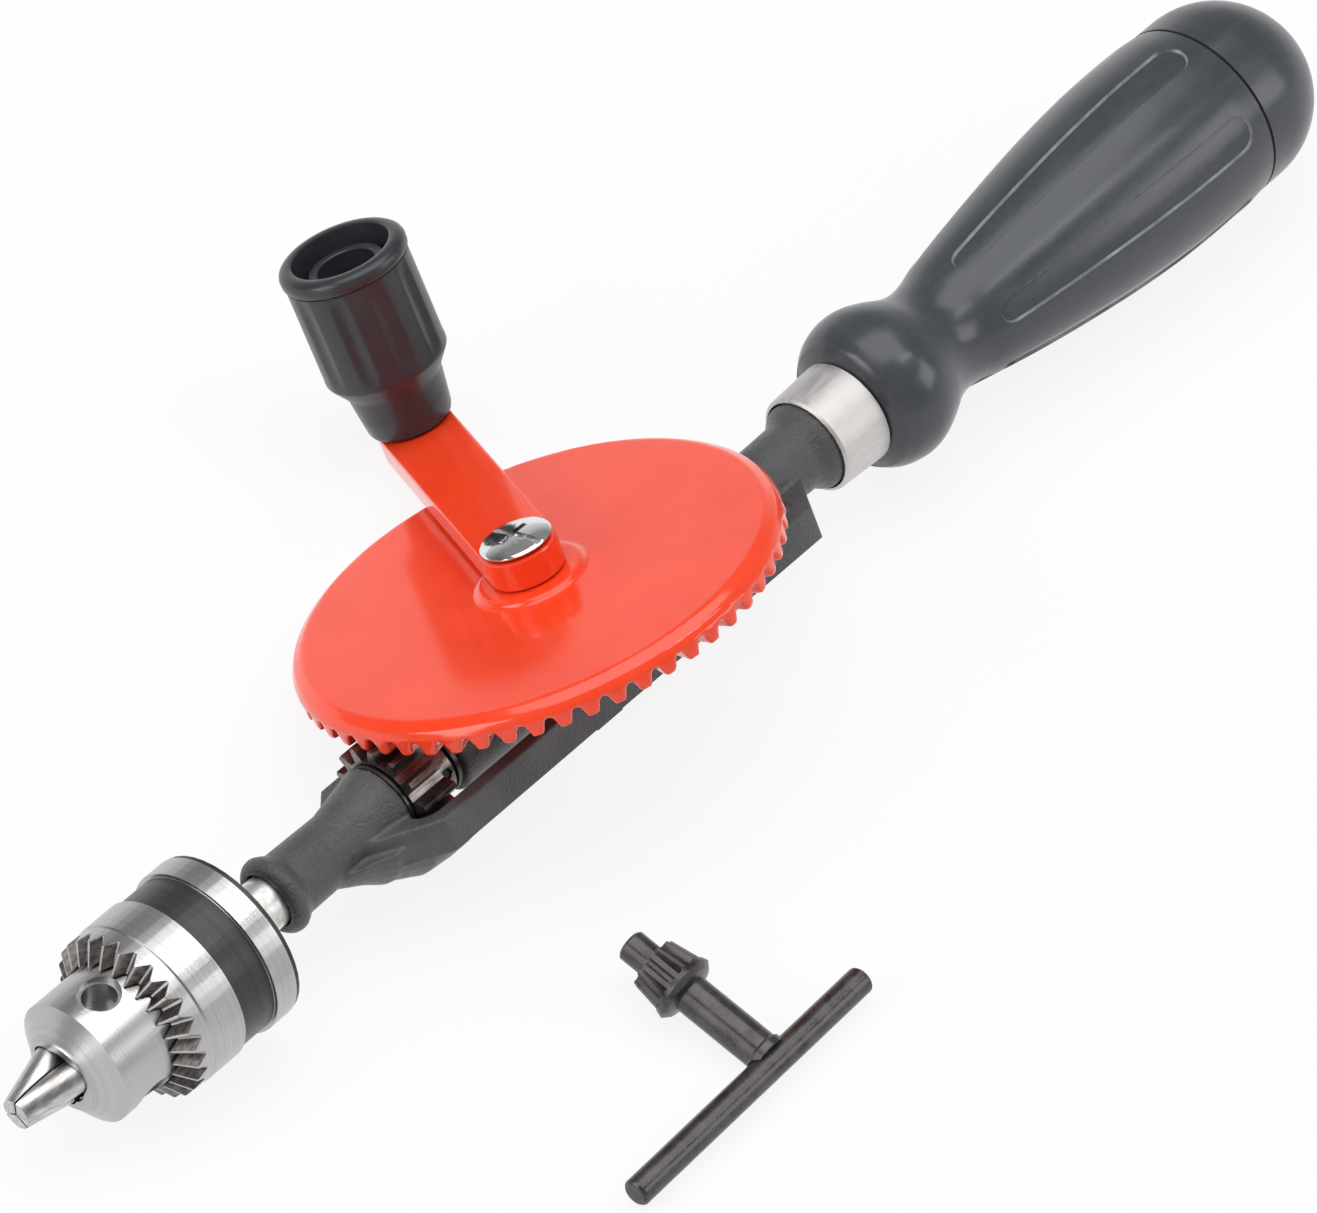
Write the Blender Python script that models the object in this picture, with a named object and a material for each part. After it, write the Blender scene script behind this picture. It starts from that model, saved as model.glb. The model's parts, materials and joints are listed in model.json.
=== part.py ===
"""Hand drill with a keyed chuck, and its chuck key lying beside it.

Lengths are in metres and angles in degrees. The drill is modelled in tool axes: X runs along
the spindle towards the bit, Z along the gear axle towards the crank, and both cross at the
tool origin. The whole tool then lies on the floor on its handle, its chuck and the end of
its crank arm, with the key flat beside it.
"""
import math

import bpy
import bmesh
from mathutils import Matrix, Vector

# Clearances and cutters
gap = 0.0003
overrun = 0.002
round_steps = 32
fine_steps = 40
cap_dome_steps = 8

# Spindle, from the bearing in the frame to the chuck
spindle_radius = 0.0042
spindle_shoulder_radius = 0.00525
spindle_seat_length = 0.0105
spindle_thread_radius = 0.0045
spindle_thread_length = 0.0128
retaining_hole_radius = 0.0025
retaining_hole_depth = 0.012
retaining_head_radius = 0.0036
retaining_head_length = 0.0022
edge_break = 0.0005

# Drive gear and pinion
gear_teeth = 56
pinion_teeth = 14
gear_radius = 0.0479
gear_face_radius = 0.0452
gear_face_z = 0.0168
gear_edge_drop = 0.0013
gear_edge_inset = 0.0008
gear_web = 0.0038
gear_tooth_height = 0.0028
gear_tooth_tip_z = 0.0107
gear_tooth_length = 0.0068
gear_tooth_run_in = 0.0006
gear_hub_radius = 0.0083
gear_boss_radius = 0.0102
gear_boss_height = 0.0011
pinion_tip_radius = 0.0117
pinion_root_radius = 0.0090
pinion_length = 0.0083
pinion_reach = 0.0008
pinion_hub_radius = 0.0065
pinion_hub_length = 0.0046
pinion_pin_radius = 0.0009
washer_thickness = 0.0007
rear_washer_thickness = 0.0010
washer_rim = 0.0040

# Gear axle and crank
axle_radius = 0.0040
axle_nut_radius = 0.0068
axle_nut_height = 0.0042
axle_washer_radius = 0.0074
axle_washer_thickness = 0.0011
axle_below_nut = 0.0008
crank_length = 0.0650
crank_angle = -115.7
arm_width = 0.0146
arm_thickness = 0.0060
arm_bevel = 0.0006
arm_cover = 0.0019
screw_head_radius = 0.0070
screw_head_height = 0.0021
screw_head_dome = 0.0009
screw_shank_radius = 0.0024
screw_shank_length = 0.0090
screw_slot_width = 0.0013
screw_slot_depth = 0.0012
screw_cross_length = 0.0066

# Crank knob
knob_height = 0.0382
knob_neck_radius = 0.0085
knob_neck_height = 0.0092
knob_neck_flare = 0.0010
knob_neck_round = 0.0012
knob_shoulder_height = 0.0042
knob_body_radius = 0.0122
knob_rim_radius = 0.0127
knob_rim_height = 0.0053
knob_rim_round = 0.0012
knob_flutes = 10
knob_flute_depth = 0.0006
knob_recess_radius = 0.0097
knob_recess_depth = 0.0085
knob_tube_radius = 0.0073
knob_tube_drop = 0.0018
knob_bore_radius = 0.0057
knob_floor_height = 0.0155
knob_pin_radius = 0.0030
knob_pin_head_radius = 0.0050
knob_pin_head_height = 0.0024
knob_pin_seat = 0.0045

# Frame casting
tube_length = 0.0297
tube_radius = 0.0064
tube_end_radius = 0.0087
flange_radius = 0.0080
flange_length = 0.0048
flange_mouth_radius = 0.0056
flange_mouth_depth = 0.0032
rail_outer_y = 0.0172
rail_thickness = 0.0038
rail_height = 0.0070
rail_front_reach = 0.0016
rail_rear_reach = 0.0041
rear_slope_length = 0.0080
gusset_length = 0.0120
gusset_half_width = 0.0052
window_corner = 0.0030
shroud_radius = 0.0152
shroud_wall = 0.0026
shroud_lap = 0.0004
shroud_length = 0.0280
shroud_top_drop = 0.0030
neck_radius = 0.0070
neck_length = 0.0050
collar_radius = 0.0093
collar_length = 0.0066
tang_radius = 0.0050
tang_length = 0.0550
post_radius = 0.0095
post_top_z = 0.0057
post_bottom_z = -0.0085
web_half_length = 0.0080
bearing_radius = 0.0076
bearing_depth = 0.0168

# Handle, ferrule and end cap
ferrule_setback = 0.0038
ferrule_length = 0.0117
ferrule_radius = 0.0104
ferrule_wall = 0.0008
ferrule_flare = 0.0005
handle_length = 0.1050
handle_radius = 0.0199
handle_spigot_length = 0.0088
handle_panels = 6
panel_depth = 0.0007
panel_width = 0.0076
panel_phase = 7.5
store_radius = 0.0131
store_depth = 0.0520
cap_straight = 0.0057
cap_radius = 0.0193
cap_spigot_length = 0.0064
cap_spigot_wall = 0.0023
cap_recess = 0.0140

# Chuck
chuck_standoff = 0.0094
back_plate_radius = 0.0163
back_plate_thickness = 0.0010
chuck_body_radius = 0.01275
chuck_length = 0.0439
nose_radius = 0.0074
nose_mouth_radius = 0.0056
nose_cone_length = 0.0038
nose_mouth_depth = 0.0008
chuck_bore_radius = 0.0052
sleeve_radius = 0.01725
sleeve_ring_radius = 0.0175
sleeve_ring_length = 0.0069
sleeve_band_radius = 0.0167
sleeve_band_length = 0.0054
sleeve_length = 0.0279
sleeve_cavity_radius = 0.0156
sleeve_cavity_length = 0.0218
toothed_ring_radius = 0.01705
toothed_ring_length = 0.0068
chuck_teeth = 27
chuck_tooth_depth = 0.0023
chuck_tooth_cone = 0.0024
thrust_ring_length = 0.0050
thrust_ring_inset = 0.0022
key_hole_radius = 0.0033
key_hole_mouth_radius = 0.0041
key_hole_mouth_depth = 0.0013
key_hole_depth = 0.0062
key_hole_setback = 0.0109
key_hole_angle = 65.4
jaw_count = 3
jaw_radius = 0.0031
jaw_reach = 0.0115
jaw_tip_radius = 0.0031
jaw_length = 0.0240
jaw_slant = 16.7
jaw_half_gap = 0.00018
jaw_travel = 0.0174

# Chuck key
key_bar_radius = 0.00275
key_bar_length = 0.0647
key_bar_offset = 0.0070
key_shank_radius = 0.00375
key_saddle_radius = 0.0042
key_saddle_length = 0.0014
key_saddle_start = 0.0014
key_flange_radius = 0.0067
key_flange_at = 0.0199
key_flange_thickness = 0.0030
key_pinion_length = 0.0060
key_pinion_radius = 0.0061
key_pinion_root = 0.0044
key_pinion_taper = 0.0009
key_pinion_teeth = 11
key_pilot_radius = 0.0031
key_pilot_length = 0.0057
key_place_x = 0.0350
key_place_y = 0.0830
key_turn = 1.7

# Outlines, as shares of the sizes they follow
handle_length_shares = (0.010, 0.036, 0.075, 0.110, 0.148, 0.186, 0.222, 0.262, 0.306,
                        0.330, 0.420, 0.535, 0.660, 0.780, 0.880, 0.940, 0.965, 1.0)
handle_radius_shares = (0.673, 0.764, 0.814, 0.799, 0.726, 0.628, 0.583, 0.593, 0.651,
                        0.678, 0.764, 0.854, 0.935, 0.985, 1.0, 0.995, 0.988, 0.975)
panel_start_share = 0.306
panel_end_share = 0.965
shroud_length_shares = (0.0, 0.20, 0.39, 0.46, 0.52, 0.57, 0.64, 0.75, 0.875)
shroud_radius_shares = (1.0, 1.0, 0.97, 0.90, 0.85, 0.80, 0.77, 0.63, 0.51)
flange_length_shares = (0.0, 0.06, 0.24, 0.50, 0.78, 0.96)
flange_height_shares = (0.10, 0.45, 0.88, 1.0, 0.60, 0.15)
collar_length_shares = (0.0, 0.18, 0.32, 0.46, 0.60)
collar_height_shares = (0.10, 0.38, 0.70, 0.93, 1.0)
tooth_angle_shares = (0.0, 0.24, 0.42, 0.82)
tooth_height_shares = (0.0, 0.0, 1.0, 1.0)
tooth_phase_share = 0.73
notch_angle_shares = (0.0, 0.14, 0.50, 0.64)
notch_height_shares = (1.0, 1.0, 0.0, 0.0)
pinion_angle_shares = (0.0, 0.40, 0.60, 0.80)
pinion_height_shares = (0.0, 0.0, 1.0, 1.0)
pinion_phase_share = 0.59
screw_crown_share = 0.62
flute_angle_shares = (0.0, 0.333, 0.667)
flute_depth_shares = (0.0, 0.89, 0.89)

# Places worked out from the sizes above
gear_web_z = gear_face_z - gear_web
gear_hub_bottom_z = post_top_z + gap
arm_bottom_z = gear_face_z + gear_boss_height + gap
arm_top_z = arm_bottom_z + arm_thickness
knob_bottom_z = arm_top_z + gap
knob_x = crank_length * math.cos(math.radians(crank_angle))
knob_y = crank_length * math.sin(math.radians(crank_angle))
pinion_front_x = gear_radius + pinion_reach
pinion_rear_x = pinion_front_x - pinion_length
pinion_hub_rear_x = pinion_rear_x - pinion_hub_length
bearing_front_x = pinion_hub_rear_x - rear_washer_thickness - 2 * gap
spindle_rear_x = bearing_front_x - spindle_seat_length
tube_rear_x = pinion_front_x + washer_thickness + 2 * gap
tube_front_x = tube_rear_x + tube_length
rail_inner_y = rail_outer_y - rail_thickness
rail_front_x = gear_radius + rail_front_reach
rail_rear_x = -gear_radius - rail_rear_reach
rear_face_x = rail_rear_x - rear_slope_length
gusset_front_x = rail_front_x + gusset_length
shroud_rear_x = pinion_rear_x - shroud_lap
shroud_front_x = shroud_rear_x + shroud_length
neck_rear_x = rear_face_x - neck_length
ferrule_front_x = neck_rear_x - ferrule_setback
chuck_back_x = tube_front_x + chuck_standoff
chuck_front_x = chuck_back_x + chuck_length
key_hole_x = chuck_front_x - key_hole_setback
jaw_tip_x = chuck_front_x + jaw_reach
tang_end_x = neck_rear_x - collar_length - tang_length
handle_front_x = ferrule_front_x - ferrule_length - gap
handle_rear_x = handle_front_x - handle_length
cap_front_x = handle_rear_x - gap
cap_dome_x = cap_front_x - cap_straight
spindle_tip_x = chuck_back_x - gap + spindle_thread_length
sleeve_rear_x = chuck_back_x + back_plate_thickness + gap
sleeve_front_x = sleeve_rear_x + sleeve_length
jaw_slope = math.tan(math.radians(jaw_slant))
jaw_axis_drop = jaw_radius / math.cos(math.radians(jaw_slant))


def material(name, colour, roughness, metallic):
    """A plain surface for one piece."""
    surface = bpy.data.materials.new(name)
    surface.use_nodes = True
    shader = surface.node_tree.nodes["Principled BSDF"]
    shader.inputs["Base Color"].default_value = (*colour, 1.0)
    shader.inputs["Roughness"].default_value = roughness
    shader.inputs["Metallic"].default_value = metallic
    surface.diffuse_color = (*colour, 1.0)
    return surface


def finish_mesh(name, form):
    """Turn a bmesh into a mesh with outward faces, smooth where it is round."""
    bmesh.ops.recalc_face_normals(form, faces=form.faces)
    mesh = bpy.data.meshes.new(name)
    form.to_mesh(mesh)
    form.free()
    mesh.shade_smooth()
    mesh.set_sharp_from_angle(angle=math.radians(35))
    return mesh


def piece(name, mesh, parent, surface=None, place=(0, 0, 0)):
    """Place one named piece under its parent."""
    item = bpy.data.objects.new(name, mesh)
    bpy.context.scene.collection.objects.link(item)
    item.parent = parent
    item.location = place
    if surface:
        item.data.materials.append(surface)
    return item


def axis_empty(name, parent, place=(0, 0, 0), turn=(0, 0, 0)):
    """An empty on an axis of the tool."""
    empty = bpy.data.objects.new(name, None)
    bpy.context.scene.collection.objects.link(empty)
    empty.parent = parent
    empty.location = place
    empty.rotation_euler = turn
    return empty


def ring_point(axis, along, radius, angle):
    """A point at a radius and angle about the X or the Z axis."""
    across = (radius * math.cos(angle), radius * math.sin(angle))
    if axis == "X":
        return (along, *across)
    return (*across, along)


def swept_mesh(name, sections, angles, axis):
    """Join outlines of (along, radius) points, one for each angle, into one round body.

    An outline that starts and ends on the axis is closed there, and any other is a ring.
    """
    form = bmesh.new()
    rows = []
    for index in range(len(sections[0])):
        radii = [section[index][1] for section in sections]
        if max(radii) == 0:
            rows.append([form.verts.new(ring_point(axis, sections[0][index][0], 0, 0))])
            continue
        rows.append([form.verts.new(ring_point(axis, *section[index], angle))
                     for section, angle in zip(sections, angles)])
    pairs = list(zip(rows, rows[1:]))
    if len(rows[0]) > 1:
        pairs.append((rows[-1], rows[0]))
    count = len(angles)
    for first, second in pairs:
        for step in range(count):
            after = (step + 1) % count
            corners = (first[step % len(first)], first[after % len(first)],
                       second[after % len(second)], second[step % len(second)])
            form.faces.new(list(dict.fromkeys(corners)))
    return finish_mesh(name, form)


def turned_mesh(name, outline, axis="X", steps=round_steps):
    """Turn one outline about the X or the Z axis."""
    angles = [2 * math.pi * step / steps for step in range(steps)]
    return swept_mesh(name, [outline] * steps, angles, axis)


def cylinder_mesh(name, start, end, radius, axis="X", steps=round_steps):
    """A plain round bar."""
    outline = ((start, 0), (start, radius), (end, radius), (end, 0))
    return turned_mesh(name, outline, axis, steps)


def ring_mesh(name, start, end, inner, outer, axis="X", steps=round_steps):
    """A plain ring."""
    outline = ((start, inner), (start, outer), (end, outer), (end, inner))
    return turned_mesh(name, outline, axis, steps)


def prism_mesh(name, corners, bottom, top):
    """Extrude an outline in the XY plane between two heights."""
    form = bmesh.new()
    face = form.faces.new([form.verts.new((x, y, bottom)) for x, y in corners])
    raised = bmesh.ops.extrude_face_region(form, geom=[face])["geom"]
    lifted = [part for part in raised if isinstance(part, bmesh.types.BMVert)]
    bmesh.ops.translate(form, verts=lifted, vec=(0, 0, top - bottom))
    return finish_mesh(name, form)


def box_mesh(name, low, high):
    """A box between two corners."""
    corners = ((low[0], low[1]), (high[0], low[1]), (high[0], high[1]), (low[0], high[1]))
    return prism_mesh(name, corners, low[2], high[2])


def tool_shape(name, mesh, target, operation):
    """Cut a shape out of a piece, or join it on, with a live Boolean."""
    shape = piece(name, mesh, target.parent, place=target.location)
    shape.rotation_euler = target.rotation_euler
    shape.hide_render = True
    shape.display_type = "WIRE"
    change = target.modifiers.new(name, "BOOLEAN")
    change.operation = operation
    change.solver = "EXACT"
    change.object = shape
    return shape


def toothed_angles(count, angle_shares, phase_share=0.0):
    """The angles of a toothed wheel's stations, tooth by tooth."""
    return [2 * math.pi * (tooth + share - phase_share) / count
            for tooth in range(count) for share in angle_shares]


# Frame casting
def tube_mesh():
    """The front tube with its rounded flange."""
    rise = flange_radius - tube_radius
    outer = [(tube_front_x - flange_length * along, tube_radius + rise * height)
             for along, height in zip(flange_length_shares, flange_height_shares)]
    tail = [(gusset_front_x, tube_radius), (tube_rear_x, tube_end_radius), (tube_rear_x, 0)]
    return turned_mesh("tube", [(tube_front_x, 0)] + outer + tail)


def spindle_bore_mesh():
    """The bore for the spindle through tube and bearing, wider at the mouth."""
    bore = spindle_radius + gap
    pocket_x = bearing_front_x - bearing_depth
    mouth_x = tube_front_x - flange_mouth_depth
    outline = ((pocket_x, 0), (pocket_x, bore), (mouth_x, bore),
               (mouth_x, flange_mouth_radius), (tube_front_x + overrun, flange_mouth_radius),
               (tube_front_x + overrun, 0))
    return turned_mesh("spindle_bore", outline)


def bowl_mesh():
    """The two-lobed bowl under the pinion, as a lower half ring."""
    span = shroud_front_x - shroud_rear_x
    outer = [(shroud_rear_x + span * along, shroud_radius * height)
             for along, height in zip(shroud_length_shares, shroud_radius_shares)]
    hollow = shroud_radius - shroud_wall
    core = tube_radius - edge_break
    inner = [(shroud_front_x, core), (tube_rear_x + 2 * edge_break, core),
             (tube_rear_x + 2 * edge_break, hollow), (shroud_rear_x, hollow)]
    form = bmesh.new()
    form.from_mesh(turned_mesh("bowl", outer + inner))
    trim(form, (0, 0, -shroud_top_drop), (0, 0, 1))
    return finish_mesh("bowl", form)


def trim(form, point, direction):
    """Cut a solid by a plane, keep what lies behind it and close the cut."""
    whole = form.verts[:] + form.edges[:] + form.faces[:]
    bmesh.ops.bisect_plane(form, geom=whole, plane_co=point, plane_no=direction,
                           clear_outer=True)
    rim = [edge for edge in form.edges if edge.is_boundary]
    bmesh.ops.triangle_fill(form, use_beauty=True, use_dissolve=False, edges=rim)


def plate_outline():
    """Plan of the frame: gussets to the tube, straight rails, slanted rear corners."""
    near = [(gusset_front_x, gusset_half_width), (rail_front_x, rail_outer_y),
            (rail_rear_x, rail_outer_y), (rear_face_x, neck_radius - edge_break)]
    return near + [(x, -y) for x, y in reversed(near)]


def window_outline(rear_x, front_x):
    """A window between the rails with rounded corners."""
    count = 4
    corners = []
    inset = rail_inner_y - window_corner
    places = ((front_x - window_corner, inset, 0), (rear_x + window_corner, inset, 1),
              (rear_x + window_corner, -inset, 2), (front_x - window_corner, -inset, 3))
    for x, y, quarter in places:
        for step in range(count + 1):
            angle = math.pi / 2 * (quarter + step / count)
            corners.append((x + window_corner * math.cos(angle),
                            y + window_corner * math.sin(angle)))
    return corners


def bearing_mesh():
    """The boss that holds the rear end of the spindle."""
    thin = post_top_z - edge_break
    step_x = gear_hub_radius + 2 * gap
    outline = ((0, 0), (0, thin), (step_x, thin), (step_x, bearing_radius - edge_break),
               (step_x + edge_break, bearing_radius),
               (bearing_front_x - edge_break, bearing_radius),
               (bearing_front_x, bearing_radius - edge_break), (bearing_front_x, 0))
    return turned_mesh("bearing", outline)


def stem_mesh():
    """The neck, its collar and the tang inside the handle."""
    rise = collar_radius - neck_radius
    start_x = rail_rear_x - edge_break
    shoulder_x = neck_rear_x - collar_length
    collar = [(neck_rear_x - collar_length * along, neck_radius + rise * height)
              for along, height in zip(collar_length_shares, collar_height_shares)]
    outline = [(start_x, 0), (start_x, neck_radius), *collar, (shoulder_x, collar_radius),
               (shoulder_x, tang_radius), (tang_end_x + edge_break, tang_radius),
               (tang_end_x, tang_radius - edge_break), (tang_end_x, 0)]
    return turned_mesh("stem", outline)


def build_frame(tool, surface):
    """The casting that carries everything."""
    plate = prism_mesh("frame_casting", plate_outline(), -rail_height, 0)
    casting = piece("frame_casting", plate, tool, surface)
    low, high = -rail_height - overrun, overrun
    front = window_outline(web_half_length, tube_rear_x + edge_break)
    rear = window_outline(rail_rear_x, -web_half_length)
    tool_shape("front_window", prism_mesh("front_window", front, low, high), casting,
               "DIFFERENCE")
    tool_shape("rear_window", prism_mesh("rear_window", rear, low, high), casting,
               "DIFFERENCE")
    post = cylinder_mesh("post", post_bottom_z, post_top_z, post_radius, "Z")
    for mesh in (tube_mesh(), bowl_mesh(), post, bearing_mesh(), stem_mesh()):
        tool_shape(mesh.name + "_join", mesh, casting, "UNION")
    tool_shape("spindle_bore", spindle_bore_mesh(), casting, "DIFFERENCE")
    tool_shape("axle_bore", cylinder_mesh("axle_bore", post_bottom_z - overrun,
               post_top_z + overrun, axle_radius + gap, "Z"), casting, "DIFFERENCE")


# Spindle and pinion
def build_spindle(tool, surfaces):
    """Spindle, drive pinion, cross pin, washers, ball and retaining screw."""
    steel, bright, dark = surfaces
    shoulder_x = tube_front_x - flange_mouth_depth + gap
    shoulder_end_x = chuck_back_x - gap
    tip_x = spindle_tip_x
    outline = ((spindle_rear_x, 0), (spindle_rear_x, spindle_radius - edge_break),
               (spindle_rear_x + edge_break, spindle_radius), (shoulder_x, spindle_radius),
               (shoulder_x, spindle_shoulder_radius), (shoulder_end_x, spindle_shoulder_radius),
               (shoulder_end_x, spindle_thread_radius),
               (tip_x - edge_break, spindle_thread_radius),
               (tip_x, spindle_thread_radius - edge_break), (tip_x, retaining_hole_radius),
               (tip_x - retaining_hole_depth, retaining_hole_radius),
               (tip_x - retaining_hole_depth, 0))
    spindle = piece("spindle", turned_mesh("spindle", outline), tool, bright)
    bore = spindle_radius + gap
    angles = toothed_angles(pinion_teeth, pinion_angle_shares, pinion_phase_share)
    sections = []
    for _tooth in range(pinion_teeth):
        for height in pinion_height_shares:
            rise = pinion_root_radius + (pinion_tip_radius - pinion_root_radius) * height
            sections.append(((pinion_front_x, bore), (pinion_front_x, rise),
                             (pinion_rear_x, rise), (pinion_rear_x, pinion_hub_radius),
                             (pinion_hub_rear_x + edge_break, pinion_hub_radius),
                             (pinion_hub_rear_x, pinion_hub_radius - edge_break),
                             (pinion_hub_rear_x, bore)))
    pinion = piece("drive_pinion", swept_mesh("drive_pinion", sections, angles, "X"),
                   tool, steel)
    pin_x = pinion_rear_x - pinion_hub_length / 2
    reach = pinion_hub_radius - gap
    for target in (spindle, pinion):
        hole = tool_shape(target.name + "_pin_hole", cylinder_mesh(
            "pin_hole", -reach - overrun, reach + overrun, pinion_pin_radius + gap, "Z", 16),
            target, "DIFFERENCE")
        hole.location = (pin_x, 0, 0)
        hole.rotation_euler = (math.radians(90), 0, 0)
    pin = piece("pinion_pin", cylinder_mesh("pinion_pin", -reach, reach, pinion_pin_radius,
                                            "Z", 16), tool, dark, (pin_x, 0, 0))
    pin.rotation_euler = (math.radians(90), 0, 0)
    washers = (("front_washer", pinion_front_x + gap, washer_thickness, bore + washer_rim),
               ("rear_washer", bearing_front_x + gap, rear_washer_thickness, pinion_hub_radius))
    for name, start, length, rim in washers:
        piece(name, ring_mesh(name, 0, length, bore, rim), tool, bright, (start, 0, 0))
    pocket_end = bearing_front_x - bearing_depth
    ball_radius = (spindle_rear_x - pocket_end) / 2 - gap
    ball = bmesh.new()
    bmesh.ops.create_uvsphere(ball, u_segments=16, v_segments=8, radius=ball_radius)
    piece("thrust_ball", finish_mesh("thrust_ball", ball), tool, bright,
          ((spindle_rear_x + pocket_end) / 2, 0, 0))
    head_x = tip_x + gap
    shank = retaining_hole_radius - gap
    outline = ((0, 0), (0, shank), (retaining_hole_depth - edge_break, shank),
               (retaining_hole_depth - edge_break, retaining_head_radius),
               (retaining_hole_depth + retaining_head_length - edge_break,
                retaining_head_radius - edge_break),
               (retaining_hole_depth + retaining_head_length - edge_break, 0))
    piece("retaining_screw", turned_mesh("retaining_screw", outline, steps=24), tool, dark,
          (head_x - retaining_hole_depth + edge_break, 0, 0))


# Gear, axle and crank
def gear_sections():
    """The gear's outline at each station of each tooth."""
    root_z = gear_tooth_tip_z + gear_tooth_height
    inner = gear_radius - gear_tooth_length
    bore = axle_radius + gap
    boss_z = gear_face_z + gear_boss_height
    sections = []
    for _tooth in range(gear_teeth):
        for height in tooth_height_shares:
            edge_z = root_z - gear_tooth_height * height
            sections.append((
                (gear_hub_bottom_z, bore), (boss_z, bore),
                (boss_z, gear_boss_radius), (gear_face_z, gear_boss_radius),
                (gear_face_z, gear_face_radius),
                (gear_face_z - gear_edge_drop, gear_radius - gear_edge_inset),
                (root_z + edge_break, gear_radius), (edge_z, gear_radius),
                (edge_z, inner), (gear_web_z, inner - gear_tooth_run_in),
                (gear_web_z, gear_hub_radius), (gear_hub_bottom_z, gear_hub_radius)))
    return sections


def hexagon_ring(name, start, end, inner, outer):
    """A six-sided nut about the Z axis with a round bore."""
    steps = 24
    sections = []
    for step in range(steps):
        turn = (2 * math.pi * step / steps) % (math.pi / 3) - math.pi / 6
        flat = outer * math.cos(math.pi / 6) / math.cos(turn)
        sections.append(((start, inner), (start, flat), (end, flat), (end, inner)))
    angles = [2 * math.pi * step / steps for step in range(steps)]
    return swept_mesh(name, sections, angles, "Z")


def arm_mesh():
    """The flat crank arm, rounded at both ends, with bevelled edges."""
    half = arm_width / 2
    count = 14
    corners = []
    for centre, start in ((0, math.pi / 2), (crank_length, -math.pi / 2)):
        for step in range(count + 1):
            angle = start + math.pi * step / count
            corners.append((centre + half * math.cos(angle), half * math.sin(angle)))
    mesh = prism_mesh("crank_arm", corners, arm_bottom_z, arm_top_z)
    form = bmesh.new()
    form.from_mesh(mesh)
    rims = [edge for edge in form.edges
            if abs(edge.verts[0].co.z - edge.verts[1].co.z) < arm_thickness / 2]
    bmesh.ops.bevel(form, geom=rims, offset=arm_bevel, segments=2, profile=0.5,
                    affect="EDGES")
    return finish_mesh("crank_arm", form)


def build_crank(tool, surfaces):
    """Gear, axle, washer, nut, arm, screw and knob pin, which turn together."""
    red, bright, dark, chrome = surfaces
    angles = toothed_angles(gear_teeth, tooth_angle_shares, tooth_phase_share)
    piece("drive_gear", swept_mesh("drive_gear", gear_sections(), angles, "Z"), tool, red)
    washer_top = post_bottom_z - gap
    nut_top = washer_top - axle_washer_thickness - gap
    nut_bottom = nut_top - axle_nut_height
    axle_bottom = nut_bottom - axle_below_nut
    axle_top = arm_top_z - arm_cover
    hole = screw_shank_radius + gap
    hole_bottom = arm_top_z - screw_shank_length - edge_break
    outline = ((axle_bottom, 0), (axle_bottom, axle_radius - edge_break),
               (axle_bottom + edge_break, axle_radius), (axle_top, axle_radius),
               (axle_top, hole), (hole_bottom, hole), (hole_bottom, 0))
    piece("gear_axle", turned_mesh("gear_axle", outline, "Z", 32), tool, bright)
    piece("axle_washer", ring_mesh("axle_washer", washer_top - axle_washer_thickness,
          washer_top, axle_radius + gap, axle_washer_radius, "Z", 32), tool, bright)
    piece("axle_nut", hexagon_ring("axle_nut", nut_bottom, nut_top, axle_radius + gap,
          axle_nut_radius), tool, dark)
    arm = piece("crank_arm", arm_mesh(), tool, red)
    arm.rotation_euler = (0, 0, math.radians(crank_angle))
    for name, place, radius in (("arm_axle_hole", 0, axle_radius),
                                ("arm_pin_hole", crank_length, knob_pin_radius)):
        mesh = cylinder_mesh(name, arm_bottom_z - overrun, arm_top_z + overrun,
                             radius + gap, "Z", 24)
        mesh.transform(Matrix.Translation((place, 0, 0)))
        tool_shape(name, mesh, arm, "DIFFERENCE")
    build_screw(tool, chrome)


def build_screw(tool, chrome):
    """The pan head screw that holds the arm, with its slot and short cross slot."""
    head = gap
    top = head + screw_head_height
    crown = screw_head_radius * screw_crown_share
    outline = ((-screw_shank_length, 0), (-screw_shank_length, screw_shank_radius),
               (head, screw_shank_radius), (head, screw_head_radius - edge_break),
               (head + edge_break, screw_head_radius),
               (top - screw_head_dome - edge_break, screw_head_radius),
               (top - screw_head_dome, screw_head_radius - edge_break),
               (top - screw_head_dome / 4, crown), (top, 0))
    screw = piece("crank_screw", turned_mesh("crank_screw", outline, "Z"), tool, chrome,
                  (0, 0, arm_top_z))
    half = screw_slot_width / 2
    reach = screw_head_radius + overrun
    floor = top - screw_slot_depth
    tool_shape("screw_slot", box_mesh("screw_slot", (-half, -reach, floor),
               (half, reach, top + overrun)), screw, "DIFFERENCE")
    cross = screw_cross_length / 2
    tool_shape("screw_cross", box_mesh("screw_cross", (-cross, -half, floor - edge_break),
               (cross, half, top + overrun)), screw, "DIFFERENCE")


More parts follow.
